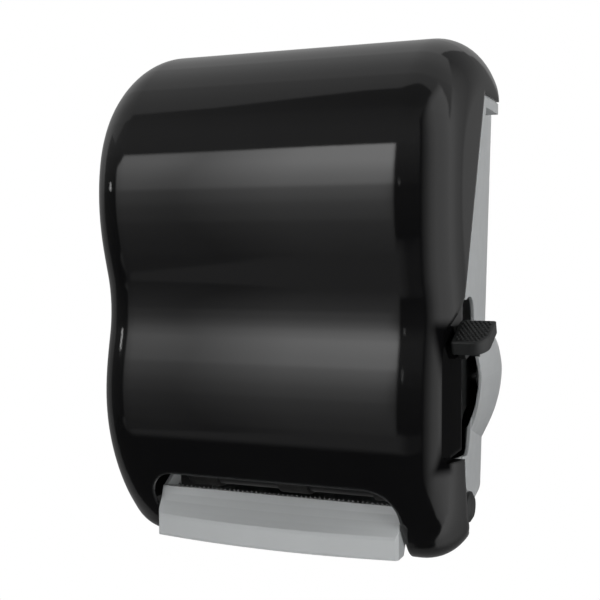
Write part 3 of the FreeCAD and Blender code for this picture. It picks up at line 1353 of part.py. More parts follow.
def make_hub(label, side):
    """The plug that carries one end of the roll, clipped into its arm."""
    face = S.roll_half_length + 0.5
    arm_in, arm_out = FRAME_OUTER - 4.0, FRAME_OUTER
    deep = face - 10.5
    profile = [
        (deep, 0.0), (deep, S.core_radius - 4.5), (deep + 3.0, S.core_radius), (face, S.core_radius),
        (face, S.core_radius + 7.5), (arm_in - S.joint_gap, S.core_radius + 7.5),
        (arm_in - S.joint_gap, HUB_SHAFT),
        (arm_out + S.joint_gap, HUB_SHAFT), (arm_out + S.joint_gap, HUB_SHAFT + 1.8),
        (arm_out + 2.0, HUB_SHAFT + 1.0),
        (arm_out + 2.0, 0.0),
    ]
    turned(label, [(x * side, radius) for x, radius in profile], *ROLL)


make_hub("roll_hub_right", 1)
make_hub("roll_hub_left", -1)


# ---------------------------------------------------------------- lock

def make_lock_keeper():
    """A hooked plate on the front edge of the chassis's top, which the lock's cam turns behind."""
    body = new_body("lock_keeper")
    seat = S.cover_top_rear_out + 13.0
    roof = CHASSIS_HIGH + S.chassis_taper * 0.9 * seat
    low = roof - 16.0
    near, far, lip = as_size(20.0), S.lock_out + 8.0, 3.0
    sketch = new_sketch(body, "keeper_plate_outline", "XZ_Plane", seat)
    draw_polygon(sketch, [(near, low), (near + 18.0, low), (near + 18.0, roof - 0.5), (near, roof - 0.5)])
    pad(body, "keeper_plate", sketch, as_size(2.0))
    sketch = new_sketch(body, "keeper_hook_outline", "XY_Plane", low)
    draw_polygon(sketch, [
        (near, out(seat + 1.0)), (near + 4.0, out(seat + 1.0)), (near + 4.0, out(far)),
        (near - 9.0, out(far)),
        (near - 9.0, out(far - lip)), (near, out(far - lip))])
    pad(body, "keeper_hook", sketch, as_size(11.5))


make_lock_keeper()


def make_lock():
    y, radius, inner = out(S.lock_out).value, S.lock_radius.value, S.lock_radius.value - 3.5
    top = up(S.overall_height).value - 0.4
    barrel = Part.makeCylinder(radius, 20.0, Vector(0, y, top - 20.0), Z_AXIS)
    bore = inner + S.running_gap.value
    new_feature("lock_housing", barrel.cut(Part.makeCylinder(bore, 20.0, Vector(0, y, top - 20.0), Z_AXIS)))
    nut = Part.Face(Part.makePolygon([
        Vector(11.5 * math.cos(math.pi / 3 * i), y + 11.5 * math.sin(math.pi / 3 * i),
        top - 12.5) for i in range(7)]))
    nut = nut.extrude(Vector(0, 0, 4.0))
    nut = nut.cut(Part.makeCylinder(radius + S.running_gap.value, 4.0, Vector(0, y, top - 12.5), Z_AXIS))
    new_feature("lock_nut", nut)
    core = Part.makeCylinder(inner, 24.0, Vector(0, y, top - 24.0), Z_AXIS)
    cam = Part.makeBox(7.0, 18.0, 3.0, Vector(-3.5, y, top - 23.7))
    slot = Part.makeBox(1.2, 6.5, 2.0, Vector(-0.6, y - 3.25, top - 2.0))
    new_feature("lock_core", core.fuse(cam).cut(slot))


make_lock()


# ---------------------------------------------------------------- transfer bar, cradle and guide

def make_transfer_bar():
    y, z = values(TRANSFER)
    inner, gap = S.frame_inner.value, S.joint_gap.value
    bar_y, bar_z = y - 62.0, z - 2.0
    outer, thick = inner - gap, 2.4
    pieces = []
    for side in (-1, 1):
        low = outer - thick if side > 0 else -outer
        pieces.append(prism(
            [(y + 6.0, z - 6.0), (y + 6.0, z + 6.0), (bar_y - 4.0, bar_z + 5.0), (bar_y - 4.0, bar_z - 4.0)],
            low, low + thick))
        pieces.append(rod(S.shaft_radius.value, *sorted((side * (outer - 0.5), side * (inner + 3.0))),
            (y, z)))
    pieces.append(rod(3.5, -outer, outer, (bar_y, bar_z)))
    new_feature("transfer_bar", pieces[0].fuse(pieces[1:]).removeSplitter())


make_transfer_bar()


def make_sheets():
    half = S.frame_inner - S.joint_gap / 4
    base = CHASSIS_LOW
    back = out(S.chassis_wall + 5.0)
    body = new_body("stub_cradle")
    trough = [
        (back, base + 72.0), (back, base + 45.0), (back - 7.0, base + 26.0), (back - 22.0, base + 15.0),
        (back - 42.0, base + 15.0), (back - 57.0, base + 27.0), (back - 62.0, base + 40.0),
        (back - 64.0, base + 40.0),
        (back - 59.0, base + 25.4), (back - 43.0, base + 13.0), (back - 21.4, base + 13.0),
        (back - 5.2, base + 25.0),
        (back + 2.0, base + 45.0), (back + 2.0, base + 72.0),
    ]
    sketch = new_sketch(body, "stub_cradle_outline", "YZ_Plane", -half)
    draw_polygon(sketch, trough)
    pad(body, "stub_cradle_sheet", sketch, half * 2)

    body = new_body("towel_guide")
    y, z = TRANSFER
    guide = [
        (y + 14.0, z - 6.0), (y + 2.0, z - 13.5), (y - 16.0, z - 20.5), (y - 30.0, z - 24.0),
        (y - 30.0, z - 26.0), (y - 15.4, z - 22.6), (y + 3.0, z - 15.4), (y + 15.2, z - 7.8),
    ]
    sketch = new_sketch(body, "towel_guide_outline", "YZ_Plane", -half)
    draw_polygon(sketch, guide)
    pad(body, "towel_guide_sheet", sketch, half * 2)


make_sheets()


# ---------------------------------------------------------------- screws

def screw(head_r, head_h, shank_r, length, seat, way):
    """A hexagon head screw: its head sits on a seat and the shank runs along a direction."""
    return shank(head_r, head_h, seat, -way, sides=6).fuse(shank(shank_r, length, seat, way))


def make_screws():
    small = S.small_screw_radius.value
    wall = S.chassis_wall.value
    frame_seat, foot_seat, bracket_seat = wall + 0.5 + S.frame_wall.value, wall + 4.5, wall + 2.2
    screws = []
    for i, (x, z) in enumerate(screw_places()):
        seat = frame_seat if i < 4 else foot_seat if x.value > 0 else bracket_seat
        screws.append(screw(small * 1.8, 2.2, small, seat - 0.5, Vector(x.value, -seat, z.value), Y_AXIS))
    new_feature("back_screws", Part.makeCompound(screws))
    screws = []
    for y, z in NOSE_SCREWS:
        for side in (-1, 1):
            seat = Vector(side * FRAME_OUTER.value, y.value, z.value)
            length = S.frame_wall.value + NOSE_PLATE + 1.0
            screws.append(screw(small * 1.7, 2.0, small, length, seat, Vector(-side, 0, 0)))
    new_feature("nose_screws", Part.makeCompound(screws))
    screws = []
    for x in bar_screws():
        seat = Vector(x.value, out(S.nose_crest_out).value + CREST_WALL + BAR_WALL,
                      up(S.nose_crest_up).value - BAR_SCREW_DROP)
        screws.append(screw(small * 1.5, 1.6, BAR_SCREW_RADIUS.value, 3.6, seat, -Y_AXIS))
    new_feature("tear_bar_screws", Part.makeCompound(screws))


make_screws()


# ---------------------------------------------------------------- write the parts

def check_and_write():
    doc.recompute()
    for thing in doc.Objects:
        if "Invalid" in thing.State or "Error" in thing.State:
            raise RuntimeError("%s failed: %s" % (thing.Name, thing.State))
    for part in parts:
        if part.Shape.isNull() or not part.Shape.isValid():
            raise RuntimeError("%s has no valid shape" % part.Label)
    os.makedirs("parts", exist_ok=True)
    for part in parts:
        part.Shape.exportStep("parts/%s.step" % part.Label)


check_and_write()
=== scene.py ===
import math

import bpy
from mathutils import Matrix, Vector


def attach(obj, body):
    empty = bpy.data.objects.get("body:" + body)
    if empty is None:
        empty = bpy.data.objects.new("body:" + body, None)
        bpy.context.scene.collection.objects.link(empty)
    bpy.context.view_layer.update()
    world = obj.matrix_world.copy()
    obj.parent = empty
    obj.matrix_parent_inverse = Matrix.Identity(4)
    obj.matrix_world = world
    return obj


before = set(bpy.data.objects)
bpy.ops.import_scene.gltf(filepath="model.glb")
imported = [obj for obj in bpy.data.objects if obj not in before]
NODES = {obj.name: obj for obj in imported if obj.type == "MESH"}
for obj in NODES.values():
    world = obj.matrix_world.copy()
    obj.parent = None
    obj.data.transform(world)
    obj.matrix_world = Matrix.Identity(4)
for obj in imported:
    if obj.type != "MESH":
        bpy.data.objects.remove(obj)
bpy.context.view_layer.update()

# ---------------------------------------------------------------- camera

# The photograph's camera: 22 degrees to the object's right and just above its middle.
CAMERA_PLACE = (0.33220, -0.95795, 0.03425)
CAMERA_RIGHT = (0.92709, 0.37484, 0.0)
CAMERA_UP = (-0.01664, 0.04116, 0.99901)
CAMERA_BACK = (0.37447, -0.92617, 0.04440)
LENS = 62.8
SENSOR = 36.0


def add_camera():
    """The camera of the photograph."""
    data = bpy.data.cameras.new("camera")
    data.lens = LENS
    data.sensor_width = SENSOR
    camera = bpy.data.objects.new("camera", data)
    bpy.context.collection.objects.link(camera)
    turn = Matrix((CAMERA_RIGHT, CAMERA_UP, CAMERA_BACK)).transposed().to_4x4()
    camera.matrix_world = Matrix.Translation(CAMERA_PLACE) @ turn
    bpy.context.scene.camera = camera


# ---------------------------------------------------------------- shader helpers

NOISE_MIDDLE = (0.3, 0.7)                 # most of a noise texture's values lie between these
NOISE_ROUGHNESS = 0.55
BEVEL_SAMPLES = 6
MIX_DARK, MIX_LIGHT, MIX_COLOUR = 6, 7, 2  # a Mix node's two colour inputs and its colour output


def material(name, colour, roughness, metallic=0.0):
    """A new material and its shader."""
    made = bpy.data.materials.new(name)
    made.use_nodes = True
    shader = made.node_tree.nodes["Principled BSDF"]
    shader.inputs["Base Color"].default_value = (*colour, 1.0)
    shader.inputs["Roughness"].default_value = roughness
    shader.inputs["Metallic"].default_value = metallic
    return made, shader


def split_place(tree, output):
    """X, Y and Z from one of the texture coordinate node's outputs."""
    place = tree.nodes.new("ShaderNodeTexCoord")
    split = tree.nodes.new("ShaderNodeSeparateXYZ")
    tree.links.new(place.outputs[output], split.inputs[0])
    return split


def multiply(tree, first, second):
    """The product of two outputs."""
    both = tree.nodes.new("ShaderNodeMath")
    both.operation = "MULTIPLY"
    tree.links.new(first, both.inputs[0])
    tree.links.new(second, both.inputs[1])
    return both.outputs[0]


def noise(tree, scale, detail=4.0):
    """A noise that stays on the piece when its body moves."""
    place = tree.nodes.new("ShaderNodeTexCoord")
    texture = tree.nodes.new("ShaderNodeTexNoise")
    texture.inputs["Scale"].default_value = scale
    texture.inputs["Detail"].default_value = detail
    texture.inputs["Roughness"].default_value = NOISE_ROUGHNESS
    tree.links.new(place.outputs["Object"], texture.inputs["Vector"])
    return texture.outputs["Fac"]


def spread(tree, value, low, high):
    """Maps the middle of a noise onto a range."""
    ramp = tree.nodes.new("ShaderNodeMapRange")
    ramp.inputs["From Min"].default_value = NOISE_MIDDLE[0]
    ramp.inputs["From Max"].default_value = NOISE_MIDDLE[1]
    ramp.inputs["To Min"].default_value = low
    ramp.inputs["To Max"].default_value = high
    tree.links.new(value, ramp.inputs["Value"])
    return ramp.outputs["Result"]


def vary(made, shader, scale, low, high):
    """Roughness that changes softly over the surface, as a moulded or worn finish does."""
    tree = made.node_tree
    tree.links.new(spread(tree, noise(tree, scale), low, high), shader.inputs["Roughness"])


def tint(made, shader, scale, dark, light):
    """Colour that drifts between two close tones."""
    tree = made.node_tree
    mix = tree.nodes.new("ShaderNodeMix")
    mix.data_type = "RGBA"
    mix.inputs[MIX_DARK].default_value = (*dark, 1.0)
    mix.inputs[MIX_LIGHT].default_value = (*light, 1.0)
    tree.links.new(spread(tree, noise(tree, scale), 0.0, 1.0), mix.inputs[0])
    tree.links.new(mix.outputs[MIX_COLOUR], shader.inputs["Base Color"])


def grain(made, shader, scale, depth, strength, rounding=0.0):
    """Fine relief of a moulded or brushed surface, with the edges broken by a small radius."""
    tree = made.node_tree
    bump = tree.nodes.new("ShaderNodeBump")
    bump.inputs["Strength"].default_value = strength
    bump.inputs["Distance"].default_value = depth
    tree.links.new(noise(tree, scale, detail=2.0), bump.inputs["Height"])
    if rounding:
        edge = tree.nodes.new("ShaderNodeBevel")
        edge.samples = BEVEL_SAMPLES
        edge.inputs["Radius"].default_value = rounding
        tree.links.new(edge.outputs["Normal"], bump.inputs["Normal"])
    tree.links.new(bump.outputs["Normal"], shader.inputs["Normal"])


def fade(tree, value, outside, inside):
    """A soft step from 0 at the one place to 1 at the other."""
    step = tree.nodes.new("ShaderNodeMapRange")
    step.interpolation_type = "SMOOTHSTEP"
    step.inputs["From Min"].default_value = outside
    step.inputs["From Max"].default_value = inside
    tree.links.new(value, step.inputs["Value"])
    return step.outputs["Result"]


# ---------------------------------------------------------------- materials

# The lever's recess in the cover's side, darkened by painted shade: an axis, where it begins and
# where it is fully reached.
RECESS_FADES = (
    ("X", 0.1492, 0.1455),
    ("X", 0.11, 0.118),
    ("Y", -0.2135, -0.2085),
    ("Z", -0.134, -0.124),
    ("Z", -0.012, -0.022),
)
COVER_SHINE = 0.5
# the gloss left in the recess, kept low as painted shade
RECESS_SHINE = 0.002


def paint_recess_shade(made, shader):
    """Painted shade: the gloss is turned nearly off in the lever's recess in the cover's side,
    which darkens it.
    """
    tree = made.node_tree
    split = split_place(tree, "Object")
    inside = None
    for axis, begins, reached in RECESS_FADES:
        part = fade(tree, split.outputs[axis], begins, reached)
        inside = part if inside is None else multiply(tree, inside, part)
    gloss = tree.nodes.new("ShaderNodeMapRange")
    gloss.inputs["To Min"].default_value = COVER_SHINE
    gloss.inputs["To Max"].default_value = RECESS_SHINE
    tree.links.new(inside, gloss.inputs["Value"])
    tree.links.new(gloss.outputs["Result"], shader.inputs["Specular IOR Level"])


def shaded(colour, share):
    """The colour made darker or lighter."""
    return tuple(part * share for part in colour)


def gloss_black():
    made, shader = material("cover_black", (0.0022, 0.0022, 0.0024), roughness=0.06)
    tint(made, shader, scale=9.0, dark=(0.0019, 0.0019, 0.0021), light=(0.0026, 0.0026, 0.0028))
    vary(made, shader, scale=14.0, low=0.05, high=0.075)
    grain(made, shader, scale=900.0, depth=0.00001, strength=0.04, rounding=0.0045)
    # painted shade in the lever's recess
    paint_recess_shade(made, shader)
    return made


def grey_matte():
    colour = (0.375, 0.387, 0.392)
    made, shader = material("tray_grey", colour, roughness=0.5)
    tint(made, shader, scale=18.0, dark=shaded(colour, 0.97), light=shaded(colour, 1.03))
    vary(made, shader, scale=60.0, low=0.42, high=0.52)
    grain(made, shader, scale=1500.0, depth=0.00004, strength=0.25, rounding=0.0012)
    return made


def black_matte(name, colour):
    made, shader = material(name, colour, roughness=0.42)
    tint(made, shader, scale=30.0, dark=shaded(colour, 0.9), light=shaded(colour, 1.15))
    vary(made, shader, scale=45.0, low=0.38, high=0.5)
    grain(made, shader, scale=1300.0, depth=0.00004, strength=0.3, rounding=0.0008)
    return made


def white_plastic():
    made, shader = material("roller_white", (0.72, 0.72, 0.69), roughness=0.35)
    tint(made, shader, scale=25.0, dark=(0.69, 0.69, 0.66), light=(0.74, 0.74, 0.71))
    vary(made, shader, scale=50.0, low=0.3, high=0.42)
    grain(made, shader, scale=1200.0, depth=0.00003, strength=0.2)
    return made


def steel():
    made, shader = material("steel", (0.56, 0.57, 0.58), roughness=0.28, metallic=1.0)
    tint(made, shader, scale=40.0, dark=(0.53, 0.54, 0.55), light=(0.59, 0.6, 0.61))
    vary(made, shader, scale=120.0, low=0.22, high=0.35)
    grain(made, shader, scale=1800.0, depth=0.00002, strength=0.2)
    return made


def brass():
    made, shader = material("bush_brass", (0.6, 0.44, 0.2), roughness=0.35, metallic=1.0)
    tint(made, shader, scale=60.0, dark=(0.55, 0.4, 0.17), light=(0.62, 0.46, 0.22))
    vary(made, shader, scale=150.0, low=0.28, high=0.42)
    return made


def rubber():
    made, shader = material("band_rubber", (0.02, 0.02, 0.02), roughness=0.75)
    tint(made, shader, scale=70.0, dark=(0.017, 0.017, 0.017), light=(0.024, 0.024, 0.023))
    vary(made, shader, scale=90.0, low=0.68, high=0.85)
    grain(made, shader, scale=1100.0, depth=0.00008, strength=0.5)
    return made


LEVER_BLACK = (0.0085, 0.009, 0.009)
# Near black for the inner frame parts: partly their plastic's colour, partly painted shade that
# keeps the inside of the cover dark through the towel opening.
FRAME_BLACK_AND_SHADE = (0.012, 0.012, 0.0125)

GREY_NODES = ("chassis", "roll_arm_right", "roll_arm_left", "nose_chute")
LEVER_NODES = ("lever", "lever_sector", "hinge_pins")
FRAME_NODES = (
    "side_frame_right", "side_frame_left", "roll_hub_right", "roll_hub_left",
    "transfer_bar", "drive_roller", "stub_cradle", "towel_guide",
)
WHITE_NODES = ("pressure_roller", "idler_gear", "clutch_gear")
STEEL_NODES = (
    "tear_bar", "tear_bar_screws", "nose_screws", "back_screws",
    "lever_pivot_pin", "idler_pin", "lever_spring", "roll_arm_bracket", "roll_arm_pin",
    "lock_housing", "lock_core", "lock_nut", "lock_keeper",
)


def paint_nodes(lever_black):
    """Gives every CAD node its material."""
    looks = (
        (("front_cover",), gloss_black()),
        (GREY_NODES, grey_matte()),
        (LEVER_NODES, lever_black),
        # the frame's own black, and painted shade inside the cover
        (FRAME_NODES, black_matte("frame_black_and_shade", FRAME_BLACK_AND_SHADE)),
        (WHITE_NODES, white_plastic()),
        (("drive_bands",), rubber()),
        (("drive_bushes",), brass()),
        (STEEL_NODES, steel()),
    )
    for names, made in looks:
        for name in names:
            for place in NODES[name].material_slots:
                place.material = made


# ---------------------------------------------------------------- grip dots on the lever's paddle

PADDLE_REAR = (-0.1675, -0.0165)          # rear edge of the paddle's top, Y and Z
PADDLE_TILT = math.radians(23.0)
PADDLE_SIDES = (0.146, 0.173)             # inner and outer side, X
PADDLE_LONG = 0.0375
PADDLE_CORNER = 0.013                     # rounded outer front corner
DOT_PITCH = 0.0034
DOT_ROW_PITCH = DOT_PITCH * 0.87
DOT_RADIUS = 0.0012
DOT_HIGH = 0.0009
DOT_MARGIN = 0.0026                       # from a dot's middle to the paddle's edge
DOT_AROUND = 10                           # corners of a dot's outline
DOT_RINGS = ((1.0, -0.1), (0.92, 0.45), (0.6, 0.85))  # shares of the radius and of the height


def on_paddle(x, back):
    """Is a dot at x and this far from the rear edge inside the paddle's top?"""
    left, right = PADDLE_SIDES
    if not left + DOT_MARGIN < x < right - DOT_MARGIN:
        return False
    if not DOT_MARGIN < back < PADDLE_LONG - DOT_MARGIN:
        return False
    corner_x, corner_back = right - PADDLE_CORNER, PADDLE_LONG - PADDLE_CORNER
    if x < corner_x or back < corner_back:
        return True
    return math.hypot(x - corner_x, back - corner_back) < PADDLE_CORNER - DOT_MARGIN


def paddle_point(x, back, rise):
    """A point on or above the tilted top of the paddle."""
    cosine, sine = math.cos(PADDLE_TILT), math.sin(PADDLE_TILT)
    y = PADDLE_REAR[0] - back * cosine - rise * sine
    z = PADDLE_REAR[1] - back * sine + rise * cosine
    return x, y, z


def add_dot(vertices, faces, x, back):
    """A low dome on the paddle's top."""
    first = len(vertices)
    for share, rise in DOT_RINGS:
        radius = DOT_RADIUS * share
        for i in range(DOT_AROUND):
            turn = 2 * math.pi * i / DOT_AROUND
            u, v = radius * math.cos(turn), radius * math.sin(turn)
            vertices.append(paddle_point(x + u, back + v, DOT_HIGH * rise))
    vertices.append(paddle_point(x, back, DOT_HIGH))
    for ring in range(len(DOT_RINGS) - 1):
        low = first + ring * DOT_AROUND
        high = low + DOT_AROUND
        for i in range(DOT_AROUND):
            j = (i + 1) % DOT_AROUND
            faces.append((low + j, low + i, high + i, high + j))
    top = first + (len(DOT_RINGS) - 1) * DOT_AROUND
    for i in range(DOT_AROUND):
        faces.append((top + (i + 1) % DOT_AROUND, top + i, top + DOT_AROUND))
    faces.append(tuple(first + i for i in range(DOT_AROUND)))


def add_grip(made):
    """Staggered rows of dots all over the paddle's top."""
    vertices, faces = [], []
    left, right = PADDLE_SIDES
    for row in range(int(PADDLE_LONG / DOT_ROW_PITCH) + 1):
        shift = DOT_PITCH / 2 if row % 2 else 0.0
        for column in range(int((right - left) / DOT_PITCH) + 2):
            x = left + shift + column * DOT_PITCH
            back = row * DOT_ROW_PITCH
            if on_paddle(x, back):
                add_dot(vertices, faces, x, back)
    mesh = bpy.data.meshes.new("paddle_grip")
    mesh.from_pydata(vertices, [], faces)
    mesh.update()
    mesh.polygons.foreach_set("use_smooth", [True] * len(mesh.polygons))
    mesh.materials.append(made)
    grip = bpy.data.objects.new("paddle_grip", mesh)
    bpy.context.collection.objects.link(grip)
    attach(grip, "lever")


# ---------------------------------------------------------------- studio sizes and levels

# A curve is a row of stops, each a place and the level there.

ROOM_FAR = 3.2                            # how far the wall and floor reach
WALL_GAP = 0.001                          # from the object's back to the wall
FLOOR_PLACE = -1.2                        # heights, Z
CEILING_PLACE = 1.6
ROOM_LEVEL = 0.15                         # the world's light on rough surfaces
DIFFUSE_WHITE = 0.75                      # colour of the wall and floor

# What the gloss mirrors of the wall by height, of the floor by distance from the wall, and of the
# room beyond them by the sine of the elevation.
WALL_RISE = ((-1.2, 0.15), (0.0, 0.2), (0.2, 0.33), (0.4, 0.49), (1.6, 0.5))
FLOOR_ALONG = ((-3.0, 0.05), (-1.6, 0.03), (0.0, 0.03))
ROOM_RISE = (
    (-1.0, 0.02), (-0.55, 0.02), (-0.3, 0.05), (0.05, 0.09),
    (0.5, 0.36), (0.66, 0.36), (0.78, 0.3), (0.9, 0.2),
)

# The lit ceiling's front edge, X and Y.
CEILING_FRONT = ((-3.0, -1.3), (-0.8, -0.72), (-0.4, -0.45), (0.3, -0.32), (3.0, -0.32))
CEILING_LEVEL = 0.47

# The softbox stands round a point in the cover. Its levels go by shares of its height and width.
SOFTBOX_CENTRE = (0.0, -0.22, 0.03)
SOFTBOX_DISTANCE = 2.2
SOFTBOX_SIDES = (-52.0, -13.2)            # azimuths of its left and right edge
SOFTBOX_FOOT = -28.4                      # elevation of its foot
SOFTBOX_TOPS = (17.0, 30.5)               # elevations of its top's left and right end
SOFTBOX_RISE = (
    (0.0, 0.27), (0.2, 0.4), (0.32, 0.55), (0.44, 0.8),
    (0.55, 1.4), (0.66, 2.4), (0.8, 3.4), (1.0, 3.6),
)
SOFTBOX_ACROSS = (
    (0.0, 0.45), (0.38, 0.58), (0.48, 0.6), (0.56, 0.52),
    (0.66, 0.78), (0.75, 0.98), (0.965, 1.04), (1.0, 0.15),
)

# The side panel stands at an X and runs back to the wall, where its return runs to the object.
SIDE_PANEL_PLACE = 0.72                   # X
SIDE_RETURN_PLACE = -0.004                # Y
SIDE_PANEL_ACROSS = (
    (-1.05, 0.0), (-0.95, 0.08), (-0.71, 0.42),
    (-0.55, 0.8), (-0.39, 1.05), (-0.004, 1.1),
)
SIDE_RETURN_ACROSS = ((0.16, 0.17), (0.24, 0.2), (0.36, 0.5), (0.5, 0.85), (0.72, 1.1))
SIDE_PANEL_RISE = ((-1.19, 0.5), (-0.6, 0.9), (-0.2, 1.0), (0.9, 1.0), (1.2, 0.5))
SIDE_RETURN_RISE = ((-1.19, 0.9), (-0.2, 1.0), (0.42, 1.0))

# The lit part of the far floor lies just above it, and goes by X and by Y.
FLOOR_GLOW_PLACE = FLOOR_PLACE + 0.004
FLOOR_GLOW_ACROSS = ((-2.6, 0.27), (-0.45, 0.27), (0.3, 0.1), (2.0, 0.1))
FLOOR_GLOW_ALONG = ((-3.2, 0.25), (-2.5, 1.0), (-1.8, 1.0), (-1.6, 0.1))

GLINT_DISTANCE = 2.4

# Lamps: name, place, width and height, power.
LAMP_AIM = (0.0, -0.1, 0.0)
LAMPS = (
    ("fill_right", (2.0, -1.0, 0.4), (1.2, 1.6), 33.0),
    ("fill_top", (0.2, -1.0, 2.1), (1.4, 1.0), 1.5),
    ("fill_front", (-0.4, -2.3, -0.6), (1.6, 1.4), 29.0),
    ("fill_left", (-2.0, -0.2, 0.3), (1.2, 1.6), 14.0),
    ("fill_back", (0.5, 1.8, 0.6), (1.4, 1.4), 24.0),
)

# ---------------------------------------------------------------- studio surfaces

def curve(tree, value, stops):
    """A number that follows straight stretches between (place, level) stops."""
    highest = max(level for _, level in stops)
    low, high = stops[0][0], stops[-1][0]
    span = tree.nodes.new("ShaderNodeMapRange")
    span.inputs["From Min"].default_value = low
    span.inputs["From Max"].default_value = high
    tree.links.new(value, span.inputs["Value"])
    ramp = tree.nodes.new("ShaderNodeValToRGB")
    marks = ramp.color_ramp.elements
    while len(marks) < len(stops):
        marks.new(0.5)
    for mark, (place, level) in zip(marks, stops):
        mark.position = (place - low) / (high - low)
        mark.color = (level / highest, level / highest, level / highest, 1.0)
    tree.links.new(span.outputs[0], ramp.inputs[0])
    scale = tree.nodes.new("ShaderNodeMath")
    scale.operation = "MULTIPLY"
    scale.inputs[1].default_value = highest
    tree.links.new(ramp.outputs[0], scale.inputs[0])
    return scale.outputs[0]


def new_surface(name):
    """A new material with nothing but an output."""
    made = bpy.data.materials.new(name)
    made.use_nodes = True
    tree = made.node_tree
    tree.nodes.clear()
    return made, tree, tree.nodes.new("ShaderNodeOutputMaterial")


def backdrop_material(name, axis, mirrored):
    """White to the camera, on a curve along one axis in the gloss, and plain pale otherwise."""
    made, tree, out = new_surface(name)
    diffuse = tree.nodes.new("ShaderNodeBsdfDiffuse")
    diffuse.inputs["Color"].default_value = (DIFFUSE_WHITE, DIFFUSE_WHITE, DIFFUSE_WHITE, 1.0)
    path = tree.nodes.new("ShaderNodeLightPath")
    level = curve(tree, split_place(tree, "Object").outputs[axis], mirrored)
    previous = diffuse.outputs[0]
    for ray in ("Is Camera Ray", "Is Glossy Ray", "Is Transmission Ray"):
        glow = tree.nodes.new("ShaderNodeEmission")
        glow.inputs["Strength"].default_value = 1.0
        if ray != "Is Camera Ray":
            tree.links.new(level, glow.inputs["Strength"])
        mix = tree.nodes.new("ShaderNodeMixShader")
        tree.links.new(path.outputs[ray], mix.inputs[0])
        tree.links.new(previous, mix.inputs[1])
        tree.links.new(glow.outputs[0], mix.inputs[2])
        previous = mix.outputs[0]
    tree.links.new(previous, out.inputs[0])
    return made


def glow_material(name, strength):
    """An even glow."""
    made, tree, out = new_surface(name)
    glow = tree.nodes.new("ShaderNodeEmission")
    glow.inputs["Strength"].default_value = strength
    tree.links.new(glow.outputs[0], out.inputs[0])
    return made


def graded_material(name, output, first, second):
    """A glow whose level is the product of two curves, each given as its axis and its stops."""
    made, tree, out = new_surface(name)
    split = split_place(tree, output)
    levels = [curve(tree, split.outputs[axis], stops) for axis, stops in (first, second)]
    glow = tree.nodes.new("ShaderNodeEmission")
    tree.links.new(multiply(tree, *levels), glow.inputs["Strength"])
    tree.links.new(glow.outputs[0], out.inputs[0])
    return made


# ---------------------------------------------------------------- studio

def stage_plane(name, corners, made):
    """One flat face that belongs to the studio and not to the object."""
    mesh = bpy.data.meshes.new(name)
    mesh.from_pydata(corners, [], [tuple(range(len(corners)))])
    mesh.update()
    mesh.materials.append(made)
    plane = bpy.data.objects.new(name, mesh)
    bpy.context.collection.objects.link(plane)
    return plane


def mirrored_plane(name, corners, made):
    """A plane that shows in the gloss, and neither lights nor hides anything else."""
    plane = stage_plane(name, corners, made)
    plane.visible_camera = False
    plane.visible_shadow = False
    plane.visible_diffuse = False


def direction(azimuth, elevation):
    """A unit vector; azimuth 0 points straight away from the wall, and more is to the right."""
    a, e = math.radians(azimuth), math.radians(elevation)
    return Vector((math.sin(a) * math.cos(e), -math.cos(a) * math.cos(e), math.sin(e)))


def add_room():
    """Wall, floor and ceiling; the wall is only mirrored, so that it doesn't hide the back."""
    far, gap, foot, head = ROOM_FAR, WALL_GAP, FLOOR_PLACE, CEILING_PLACE
    wall = [(-far, gap, foot), (far, gap, foot), (far, gap, head), (-far, gap, head)]
    mirrored_plane("wall", wall, backdrop_material("wall_white", "Z", WALL_RISE))
    floor = [(-far, -far, foot), (far, -far, foot), (far, gap, foot), (-far, gap, foot)]
    stage_plane("floor", floor, backdrop_material("floor_white", "Y", FLOOR_ALONG))
    ceiling = [(x, y, head) for x, y in CEILING_FRONT] + [(far, gap, head), (-far, gap, head)]
    mirrored_plane("ceiling", ceiling, glow_material("ceiling_face", CEILING_LEVEL))


def add_softbox():
    """A tall panel at the front left, brightest at its top right; the cover mirrors it."""
    left, right = SOFTBOX_SIDES
    high_left, high_right = SOFTBOX_TOPS
    corners = []
    for azimuth, elevation in (
        (left, SOFTBOX_FOOT), (right, SOFTBOX_FOOT), (right, high_right), (left, high_left),
    ):
        away = direction(azimuth, 0.0) * SOFTBOX_DISTANCE
        away.z = SOFTBOX_DISTANCE * math.tan(math.radians(elevation))
        corners.append(Vector(SOFTBOX_CENTRE) + away)
    face = graded_material("softbox_face", "Generated", ("Z", SOFTBOX_RISE), ("X", SOFTBOX_ACROSS))
    panel = stage_plane("softbox", corners, face)
    panel.visible_camera = False
    panel.visible_shadow = False


def add_side_panels():
    """A broad pale panel on the right and its return along the wall, for the cover's side."""
    x, y = SIDE_PANEL_PLACE, SIDE_RETURN_PLACE
    front, foot, head = SIDE_PANEL_ACROSS[0][0], SIDE_PANEL_RISE[0][0], SIDE_PANEL_RISE[-1][0]
    face = graded_material(
        "side_panel_face", "Object", ("Y", SIDE_PANEL_ACROSS), ("Z", SIDE_PANEL_RISE))
    corners = [(x, front, foot), (x, y, foot), (x, y, head), (x, front, head)]
    mirrored_plane("side_panel", corners, face)
    near, foot, head = SIDE_RETURN_ACROSS[0][0], SIDE_RETURN_RISE[0][0], SIDE_RETURN_RISE[-1][0]
    face = graded_material(
        "side_return_face", "Object", ("X", SIDE_RETURN_ACROSS), ("Z", SIDE_RETURN_RISE))
    corners = [(near, y, foot), (x, y, foot), (x, y, head), (near, y, head)]
    mirrored_plane("side_return", corners, face)


def add_floor_glow():
    """The lit far floor, which the cover's waist mirrors."""
    z = FLOOR_GLOW_PLACE
    left, right = FLOOR_GLOW_ACROSS[0][0], FLOOR_GLOW_ACROSS[-1][0]
    far, near = FLOOR_GLOW_ALONG[0][0], FLOOR_GLOW_ALONG[-1][0]
    face = graded_material(
        "floor_glow_face", "Object", ("X", FLOOR_GLOW_ACROSS), ("Y", FLOOR_GLOW_ALONG))
    corners = [(left, far, z), (right, far, z), (right, near, z), (left, near, z)]
    mirrored_plane("floor_glow", corners, face)


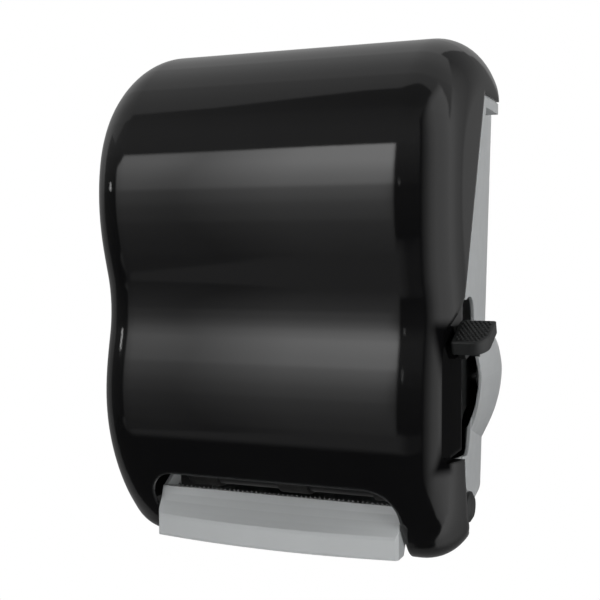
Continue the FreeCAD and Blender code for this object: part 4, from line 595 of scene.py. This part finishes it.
def add_glint(name, azimuth, elevation, size, strength):
    """A small lamp far off, seen as a glint on the cover's rounded edges."""
    away = direction(azimuth, elevation)
    middle = away * GLINT_DISTANCE
    aside = Vector((0.0, 0.0, 1.0)).cross(away).normalized() * size[0] / 2
    rise = aside.cross(away).normalized() * size[1] / 2
    corners = [
        middle - aside - rise, middle + aside - rise,
        middle + aside + rise, middle - aside + rise,
    ]
    mirrored_plane(name, corners, glow_material(name + "_face", strength))


def add_lamp(name, place, size, power):
    """An area lamp aimed at the object, which the gloss doesn't mirror."""
    data = bpy.data.lights.new(name, "AREA")
    data.shape = "RECTANGLE"
    data.size, data.size_y = size
    data.energy = power
    lamp = bpy.data.objects.new(name, data)
    bpy.context.collection.objects.link(lamp)
    lamp.location = place
    lamp.rotation_mode = "QUATERNION"
    lamp.rotation_quaternion = (Vector(LAMP_AIM) - Vector(place)).to_track_quat("-Z", "Y")
    lamp.visible_glossy = False
    lamp.visible_camera = False


def add_world():
    """White to the camera, plain for diffuse light, and brighter upwards in the gloss."""
    world = bpy.data.worlds.new("studio")
    bpy.context.scene.world = world
    world.use_nodes = True
    tree = world.node_tree
    tree.nodes.clear()
    out = tree.nodes.new("ShaderNodeOutputWorld")
    path = tree.nodes.new("ShaderNodeLightPath")
    previous = tree.nodes.new("ShaderNodeBackground")
    previous.inputs["Strength"].default_value = ROOM_LEVEL
    mirrored = tree.nodes.new("ShaderNodeBackground")
    level = curve(tree, split_place(tree, "Generated").outputs["Z"], ROOM_RISE)
    tree.links.new(level, mirrored.inputs["Strength"])
    white = tree.nodes.new("ShaderNodeBackground")
    white.inputs["Color"].default_value = (1.0, 1.0, 1.0, 1.0)
    white.inputs["Strength"].default_value = 1.0
    for ray, shade in (
        ("Is Glossy Ray", mirrored), ("Is Transmission Ray", mirrored), ("Is Camera Ray", white),
    ):
        mix = tree.nodes.new("ShaderNodeMixShader")
        tree.links.new(path.outputs[ray], mix.inputs[0])
        tree.links.new(previous.outputs[0], mix.inputs[1])
        tree.links.new(shade.outputs[0], mix.inputs[2])
        previous = mix
    tree.links.new(previous.outputs[0], out.inputs[0])


def add_studio():
    """Everything that lights the object or shows in its gloss."""
    add_room()
    add_softbox()
    add_glint("glint_left", azimuth=-64.0, elevation=8.0, size=(0.10, 0.12), strength=9.0)
    add_side_panels()
    add_floor_glow()
    add_glint("glint_right", azimuth=-3.0, elevation=8.0, size=(0.04, 0.22), strength=2.2)
    for lamp in LAMPS:
        add_lamp(*lamp)
    add_world()


add_camera()
lever_black = black_matte("lever_black", LEVER_BLACK)
paint_nodes(lever_black)
add_grip(lever_black)
add_studio()
bpy.context.scene.view_settings.view_transform = "Standard"
